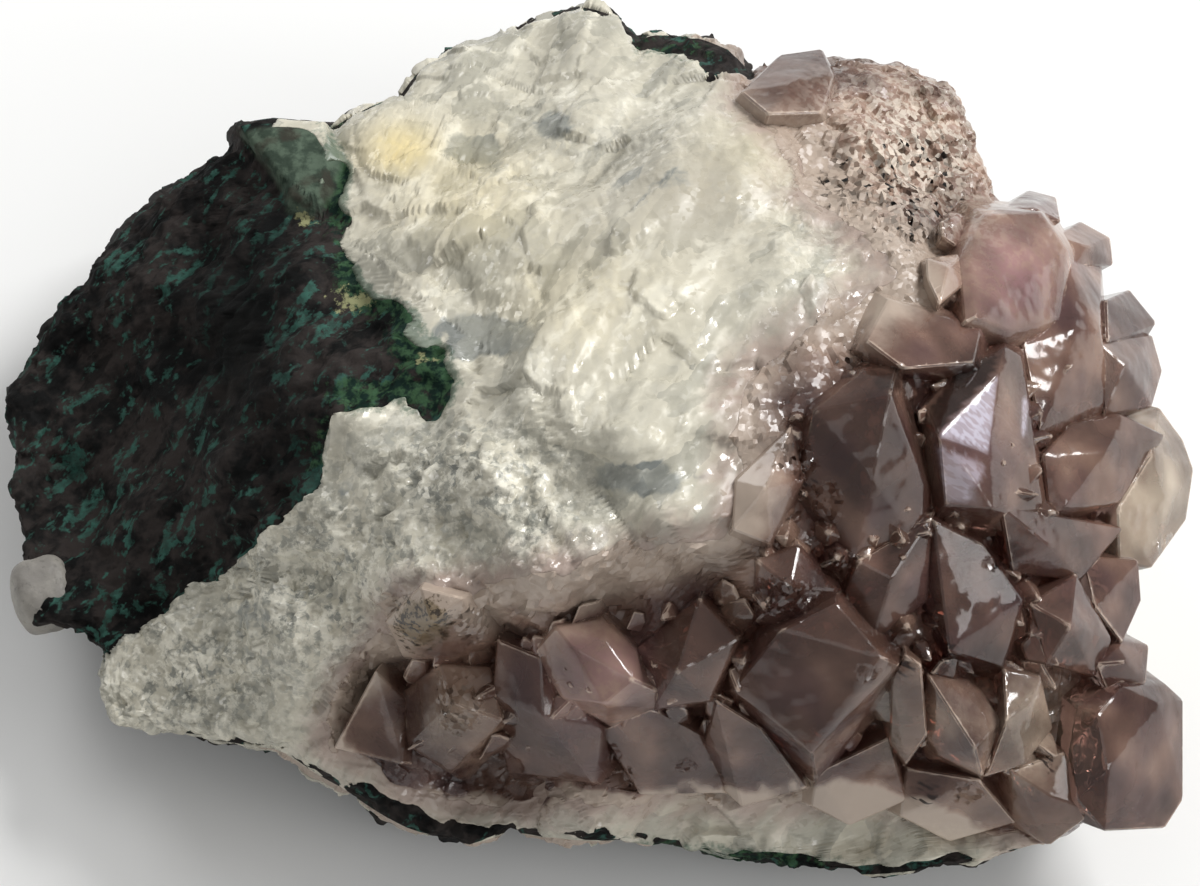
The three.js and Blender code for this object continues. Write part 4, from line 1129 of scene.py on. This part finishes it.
basaltFinish = {
    "dark": srgb(14, 14, 14),
    "brown": srgb(50, 45, 43),
    # near-black of the crevices, also used as painted shade
    "creviceAndShade": srgb(5, 7, 7),
    "teal": srgb(54, 92, 82),
    "green": srgb(56, 84, 58),
    "deepGreen": srgb(14, 36, 30),
    "pale": srgb(146, 146, 108),
    "ledge": srgb(84, 98, 84),
    "ledgeDark": srgb(52, 64, 54),
    "rust": srgb(48, 27, 25),
    "leafAngle": 48,  # of the slanting patterns, in degrees
    "leafStretch": (2.6, 1, 1.4),
    "broadSize": 3.6,  # of the patterns, in millimetres
    "toneSize": 1.2,
    "tealSize": 1.5,
    "blotchSize": 0.7,
    "roughSize": 0.8,
    "grainSize": 0.3,
    "bumpDepth": 0.45,
    "roughness": 0.7,
    "shine": 0.12,
}


# Host rock: brown noise with black crevices that are partly painted shade in the bump's hollows, painted
# shade on the face left of the ridge, teal in slanting patches, green with pale threads at its rim
def basaltLook():
    look = Look("basalt")
    slanting = look.drawnOut(look.place, basaltFinish["leafAngle"], basaltFinish["leafStretch"])
    broad = look.noise(basaltFinish["broadSize"], 4, 0.55)
    tones = look.noise(basaltFinish["toneSize"], 5, 0.6)
    leaves = look.noise(basaltFinish["toneSize"], 5, 0.6, slanting)
    rough = look.noise(basaltFinish["roughSize"], 5, 0.7)
    blotches = look.noise(basaltFinish["blotchSize"], 4, 0.6)
    brown = look.between(broad * 0.6 + tones * 0.4, 0.42, 0.58)
    colour = look.mix(brown, basaltFinish["dark"], basaltFinish["brown"])
    foliated = look.mask("foliated")
    # Crevices: the bump's hollows darkened, partly the rock's own dark and partly painted shade
    dim = look.between(leaves, 0.47, 0.36) * (0.6 + foliated * 0.4)
    colour = look.mix(dim, colour, basaltFinish["creviceAndShade"])
    spread = look.noise(basaltFinish["tealSize"], 5, 0.62, slanting, 0.6) * 0.65 + blotches * 0.35
    teal = look.between(spread + foliated * 0.035, 0.535, 0.6)
    colour = look.mix(teal * (0.45 + look.between(rough, 0.35, 0.65) * 0.55), colour, basaltFinish["teal"])
    # Painted shade, over rock that is dark there too, where the face left of the ridge turns away from the
    # key light
    colour = look.mix(look.mask("shade") * 0.9, colour, basaltFinish["creviceAndShade"])
    covered = look.between(look.mask("greenRim") + (rough - 0.5) * 1.6, 0.35, 0.6)
    green = look.mix(look.between(blotches, 0.42, 0.6), basaltFinish["deepGreen"], basaltFinish["green"])
    colour = look.mix(covered * 0.92, colour, green)
    ledge = look.mix(look.between(tones, 0.4, 0.62), basaltFinish["ledgeDark"], basaltFinish["ledge"])
    ledge = look.mix(look.between(broad, 0.54, 0.64) * 0.5, ledge, basaltFinish["rust"])
    colour = look.mix(look.mask("ledge"), colour, ledge)
    threads = look.between(look.mask("threads") + (rough - 0.5) * 2.6, 0.7, 1.0)
    colour = look.mix(threads * 0.85, colour, basaltFinish["pale"])
    height = leaves * 0.45 + rough * 0.3 + look.noise(basaltFinish["grainSize"], 3, 0.6) * 0.15
    return look.finish(look.shader({
        "Base Color": colour,
        "Roughness": look.between(tones, 0.3, 0.7) * 0.2 + basaltFinish["roughness"],
        "Normal": look.bump(height, basaltFinish["bumpDepth"] * metres, 0.55),
        "Specular IOR Level": basaltFinish["shine"],
    }))


quartzFinish = {
    "white": srgb(232, 228, 212),
    "body": srgb(196, 191, 174),
    "grey": srgb(168, 165, 151),
    "dim": srgb(118, 121, 115),
    "blueGrey": srgb(108, 114, 113),
    "yellow": srgb(232, 212, 152),
    "mauve": srgb(152, 132, 122),
    "green": srgb(58, 88, 70),
    "wax": srgb(170, 163, 147),
    "flakeAngle": 55,  # of the flakes, in degrees
    "flakeStretch": (1.9, 1, 1),
    "flakeSize": 2.3,  # of the patterns, in millimetres
    "wispSize": 2.2,
    "glintSize": 0.42,
    "swellSize": 1.6,
    "bumpDepth": 0.4,
    "ior": 1.55,
}


# Milky quartz: soft flakes each of its own grey with wispy smudges, bright and dim grains in the sugary
# parts, scattered glints, a yellow stain and blue-grey windows, mauve by the crystals and green by the rock
def quartzLook():
    look = Look("milkyQuartz")
    steep = look.drawnOut(look.place, quartzFinish["flakeAngle"], quartzFinish["flakeStretch"])
    bent = look.warped(steep, 1.8, 0.8)
    flakes = look.between(look.cells(quartzFinish["flakeSize"], bent), 0.1, 0.9)
    wisps = look.noise(quartzFinish["wispSize"], 3, 0.55, bent, 0.3)
    fine = look.noise(0.5, 3, 0.65)
    sugar = look.mask("sugar")
    dome = look.mask("dome")
    shade = look.between(flakes * 0.35 + wisps * 0.65, 0.34, 0.62)
    colour = look.mix(shade, quartzFinish["grey"], quartzFinish["body"])
    colour = look.mix(look.between(wisps, 0.52, 0.66) * 0.6, colour, quartzFinish["white"])
    colour = look.mix(dome * 0.85, colour, quartzFinish["wax"])
    grains = look.cells(quartzFinish["glintSize"])
    dim = look.between(look.noise(1.4, 4, 0.6) * 0.75 + grains * 0.25, 0.53, 0.38)
    colour = look.mix(sugar * dim * 0.9, colour, quartzFinish["dim"])
    bright = look.between(look.noise(0.9, 4, 0.7), 0.48, 0.6)
    colour = look.mix(sugar * bright * 0.8, colour, quartzFinish["white"])
    windows = look.between(look.mask("blueGrey") + (wisps - 0.5) * 1.2, 0.42, 0.62)
    colour = look.mix(windows * (0.55 + flakes * 0.35), colour, quartzFinish["blueGrey"])
    warm = look.mask("warm")
    colour = look.mix(warm * 0.75, colour, quartzFinish["yellow"])
    mauve = look.between(look.mask("mauve") + (wisps - 0.5) * 1.2, 0.25, 1.05)
    colour = look.mix(mauve * 0.9, colour, quartzFinish["mauve"])
    stained = look.between(look.mask("greenStain") + (fine - 0.5) * 1.0, 0.45, 0.85)
    colour = look.mix(stained * 0.75, colour, quartzFinish["green"])
    height = look.noise(quartzFinish["swellSize"], 2, 0.5) * 0.35 + fine * (sugar * 0.4 + 0.06)
    smooth = look.bump(height, quartzFinish["bumpDepth"] * metres, 0.45)
    picked = look.between(grains, 0.6, 0.75)
    surface = look.shader({
        "Base Color": colour,
        "Roughness": 0.42 - picked * 0.24,
        "IOR": quartzFinish["ior"],
        "Normal": look.glinting(grains, picked * (0.35 + sugar * 0.65), smooth),
    })
    return look.finish(surface)


druseFinish = {
    "deep": srgb(74, 52, 46),
    "brown": srgb(128, 98, 85),
    "tan": srgb(178, 150, 130),
    "pale": srgb(206, 190, 169),
    "purple": srgb(74, 50, 56),
    "milk": srgb(170, 155, 141),
    "pink": srgb(152, 114, 116),
    # of the painted highlight on the lit faces
    "lilac": srgb(182, 176, 188),
    "white": srgb(214, 203, 188),
    # of the inclusions, and of the painted shade on the shaded faces
    "black": srgb(26, 18, 16),
    "olive": srgb(104, 88, 58),
    # of the painted highlight along the crystals' edges, partly their chipped wear
    "edge": srgb(196, 178, 162),
    "glass": (0.97, 0.93, 0.92, 1),
    "glassRoughness": 0.06,
    "ior": 1.544,
    "absorbed": (0.66, 0.49, 0.43, 1),
    "density": 380,  # of the absorption, per metre
    "veil": 0.34,  # least share of the milky surface over the glass
    "fineSize": 0.6,  # of the patterns, in millimetres
    "glintSize": 0.38,
    "swellSize": 1.6,
    "bumpDepth": 0.24,
    "needleSize": 0.35,
    "needleAngle": -35,  # in degrees
    "needleStretch": (5, 0.6, 0.6),
    "stripeSize": 0.4,
    "stripeAngle": -28,
    "stripeStretch": (9, 0.7, 1),
}


# Amethyst: clear glass that takes in light as it goes deeper, veiled by clouds in its own tone, purple
# shadows, pale ridges that are partly chipped wear and partly a painted highlight, and listed faces with a
# painted highlight or painted shade; the broken part and the listed places glint from grains turned every
# way
def druseLook():
    look = Look("amethyst")
    clouds = look.mask("clouds")
    fine = look.noise(druseFinish["fineSize"], 3, 0.65)
    grains = look.cells(druseFinish["glintSize"])
    grown = look.mask("grown")
    tone = look.mask("tone") + (clouds - 0.5) * 0.7 + (fine - 0.5) * 0.2
    colour = look.mix(look.between(tone, 0.0, 0.5), druseFinish["deep"], druseFinish["brown"])
    colour = look.mix(look.between(tone, 0.35, 0.8), colour, druseFinish["tan"])
    colour = look.mix(look.between(tone, 0.75, 1.1), colour, druseFinish["pale"])
    colour = look.mix(look.mask("shadows") * 0.6, colour, druseFinish["purple"])
    colour = look.mix(look.mask("dark") * 0.55, colour, druseFinish["deep"])
    pink = look.mask("pink")
    colour = look.mix(pink * (0.5 + look.between(fine, 0.6, 0.45) * 0.35), colour, druseFinish["pink"])
    broken = look.mask("broken")
    colour = look.mix(broken * 0.55, colour, druseFinish["tan"])
    specks = look.between(grains * 0.3 + fine * 0.7, 0.42, 0.58)
    colour = look.mix(broken * specks * 0.9, colour, druseFinish["white"])
    milk = look.mask("milk")
    colour = look.mix(look.between(milk + (fine - 0.5) * 0.3, 0.1, 0.9) * 0.9, colour, druseFinish["milk"])
    pale = look.between(look.mask("pale") + (fine - 0.5) * 0.4, 0.2, 0.9)
    colour = look.mix(pale * 0.7, colour, druseFinish["pale"])
    # Painted highlight along the crystals' sharp edges, partly their chipped wear: the pale edge colour
    ridge = look.between(look.mask("ridge") + (fine - 0.5) * 0.6, 0.55, 1.0) * grown
    colour = look.mix(ridge * 0.6, colour, druseFinish["edge"])
    speckled = look.between(look.mask("speckled") + (fine - 0.5) * 1.2, 0.4, 0.7)
    colour = look.mix(speckled * 0.75, colour, druseFinish["olive"])
    colour = look.mix(speckled * look.between(fine, 0.5, 0.58) * 0.85, colour, druseFinish["black"])
    along = look.drawnOut(look.place, druseFinish["needleAngle"], druseFinish["needleStretch"])
    needles = look.between(look.noise(druseFinish["needleSize"], 0, 0.5, along), 0.57, 0.62)
    tufts = look.between(look.mask("needles"), 0.25, 0.5)
    colour = look.mix(tufts * needles * 0.9, colour, druseFinish["black"])
    # Painted shade: the listed faces darkened nearly to black
    shaded = look.mask("shaded")
    colour = look.mix(shaded * 0.9, colour, druseFinish["black"])
    # Painted highlight: the listed faces that catch the key light made pale lilac, with faint stripes
    lit = look.mask("lit")
    along = look.drawnOut(look.place, druseFinish["stripeAngle"], druseFinish["stripeStretch"])
    stripes = look.between(look.noise(druseFinish["stripeSize"], 1, 0.5, along), 0.42, 0.58)
    colour = look.mix(lit * (0.6 + stripes * 0.4), colour, druseFinish["lilac"])
    smooth = look.bump(look.noise(druseFinish["swellSize"], 1, 0.5), druseFinish["bumpDepth"] * metres, 0.5)
    glints = look.between(look.mask("glints") + (fine - 0.5) * 0.8, 0.3, 0.6)
    strength = glints * 1.5 + broken * 0.5 + (1 - grown) * 0.35 + ridge * 0.5
    normal = look.glinting(grains, strength, smooth)
    veil = look.shader({
        "Base Color": colour,
        "Roughness": 0.14 + broken * 0.2 + (1 - grown) * 0.2,
        "IOR": druseFinish["ior"],
        "Normal": normal,
    })
    clear = look.shader({
        "Base Color": druseFinish["glass"],
        "Roughness": druseFinish["glassRoughness"],
        "IOR": druseFinish["ior"],
        "Normal": normal,
        "Transmission Weight": 1.0,
    })
    veiled = look.between(clouds, 0.35, 0.7) * 0.35 + druseFinish["veil"]
    veiled = veiled + milk * 0.6 + pink * 0.3 + broken * 0.5 + ridge * 0.3 + lit * 0.5 + shaded * 0.3
    volume = look.node("ShaderNodeVolumeAbsorption", None, {
        "Color": druseFinish["absorbed"],
        "Density": druseFinish["density"],
    })
    return look.finish(look.node("ShaderNodeMixShader", None, {0: veiled, 1: clear, 2: veil}), volume)


noduleFinish = {
    "body": srgb(124, 120, 114),
    "light": srgb(146, 142, 134),
    "specks": srgb(78, 75, 70),
}


# Nodule: pale grey with fine darker specks
def noduleLook():
    look = Look("paleQuartz")
    specks = look.between(look.noise(0.5, 5, 0.7), 0.55, 0.7)
    clouds = look.between(look.noise(1.8, 4), 0.35, 0.65)
    colour = look.mix(clouds, noduleFinish["body"], noduleFinish["light"])
    colour = look.mix(specks * 0.5, colour, noduleFinish["specks"])
    normal = look.bump(look.noise(0.6, 4), 0.15 * metres, 0.5)
    return look.finish(look.shader({"Base Color": colour, "Roughness": 0.5, "Normal": normal}))


for piece, node, slot, material in (
    (basaltPiece, "basalt_rind", "basalt", basaltLook()),
    (quartzPiece, "milky_quartz_band", "milky_quartz", quartzLook()),
    (drusePiece, "amethyst_druse", "amethyst", druseLook()),
    (nodulePiece, "quartz_nodule", "pale_quartz", noduleLook()),
):
    piece.data.materials.clear()
    piece.data.materials.append(material)
    piece.name = "dressed_" + node
    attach(piece, "root")
    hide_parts(node)
print("pieces dressed")

light = {
    "world": 0.36,
    "lamps": [
        # name, place in metres, width and power
        ("key", (0.42, 0.26, 0.48), 0.26, 4.3),
        ("front", (0.1, -0.6, 0.6), 0.6, 0.7),
        ("leftBack", (-0.3, 0.42, 0.5), 0.3, 1.1),
        ("right", (0.62, -0.25, 0.3), 0.3, 1.1),
    ],
    "floor": (0.86, 0.86, 0.85, 1),
}


def makeArea(name, location, size, power):
    lamp = bpy.data.lights.new(name, "AREA")
    lamp.size = size
    lamp.energy = power
    holder = bpy.data.objects.new(name, lamp)
    holder.location = location
    holder.rotation_euler = (Vector(location) - Vector((0, 0, 0.015))).to_track_quat("Z", "Y").to_euler()
    bpy.context.scene.collection.objects.link(holder)


def makeStage():
    for lamp in light["lamps"]:
        makeArea(*lamp)
    world = bpy.data.worlds.new("studio")
    world.use_nodes = True
    world.node_tree.nodes["Background"].inputs["Strength"].default_value = light["world"]
    world.node_tree.nodes["Background"].inputs["Color"].default_value = (1, 1, 1, 1)
    bpy.context.scene.world = world
    bpy.context.scene.view_settings.view_transform = "Standard"
    corners = np.array([(-3, -3, 0), (3, -3, 0), (3, 3, 0), (-3, 3, 0)], float)
    floor = meshObject("floor", corners, np.array([(0, 1, 2), (0, 2, 3)]))
    look = Look("paper")
    floor.data.materials.append(look.finish(look.shader({"Base Color": light["floor"], "Roughness": 0.9})))


makeStage()
print("stage set")
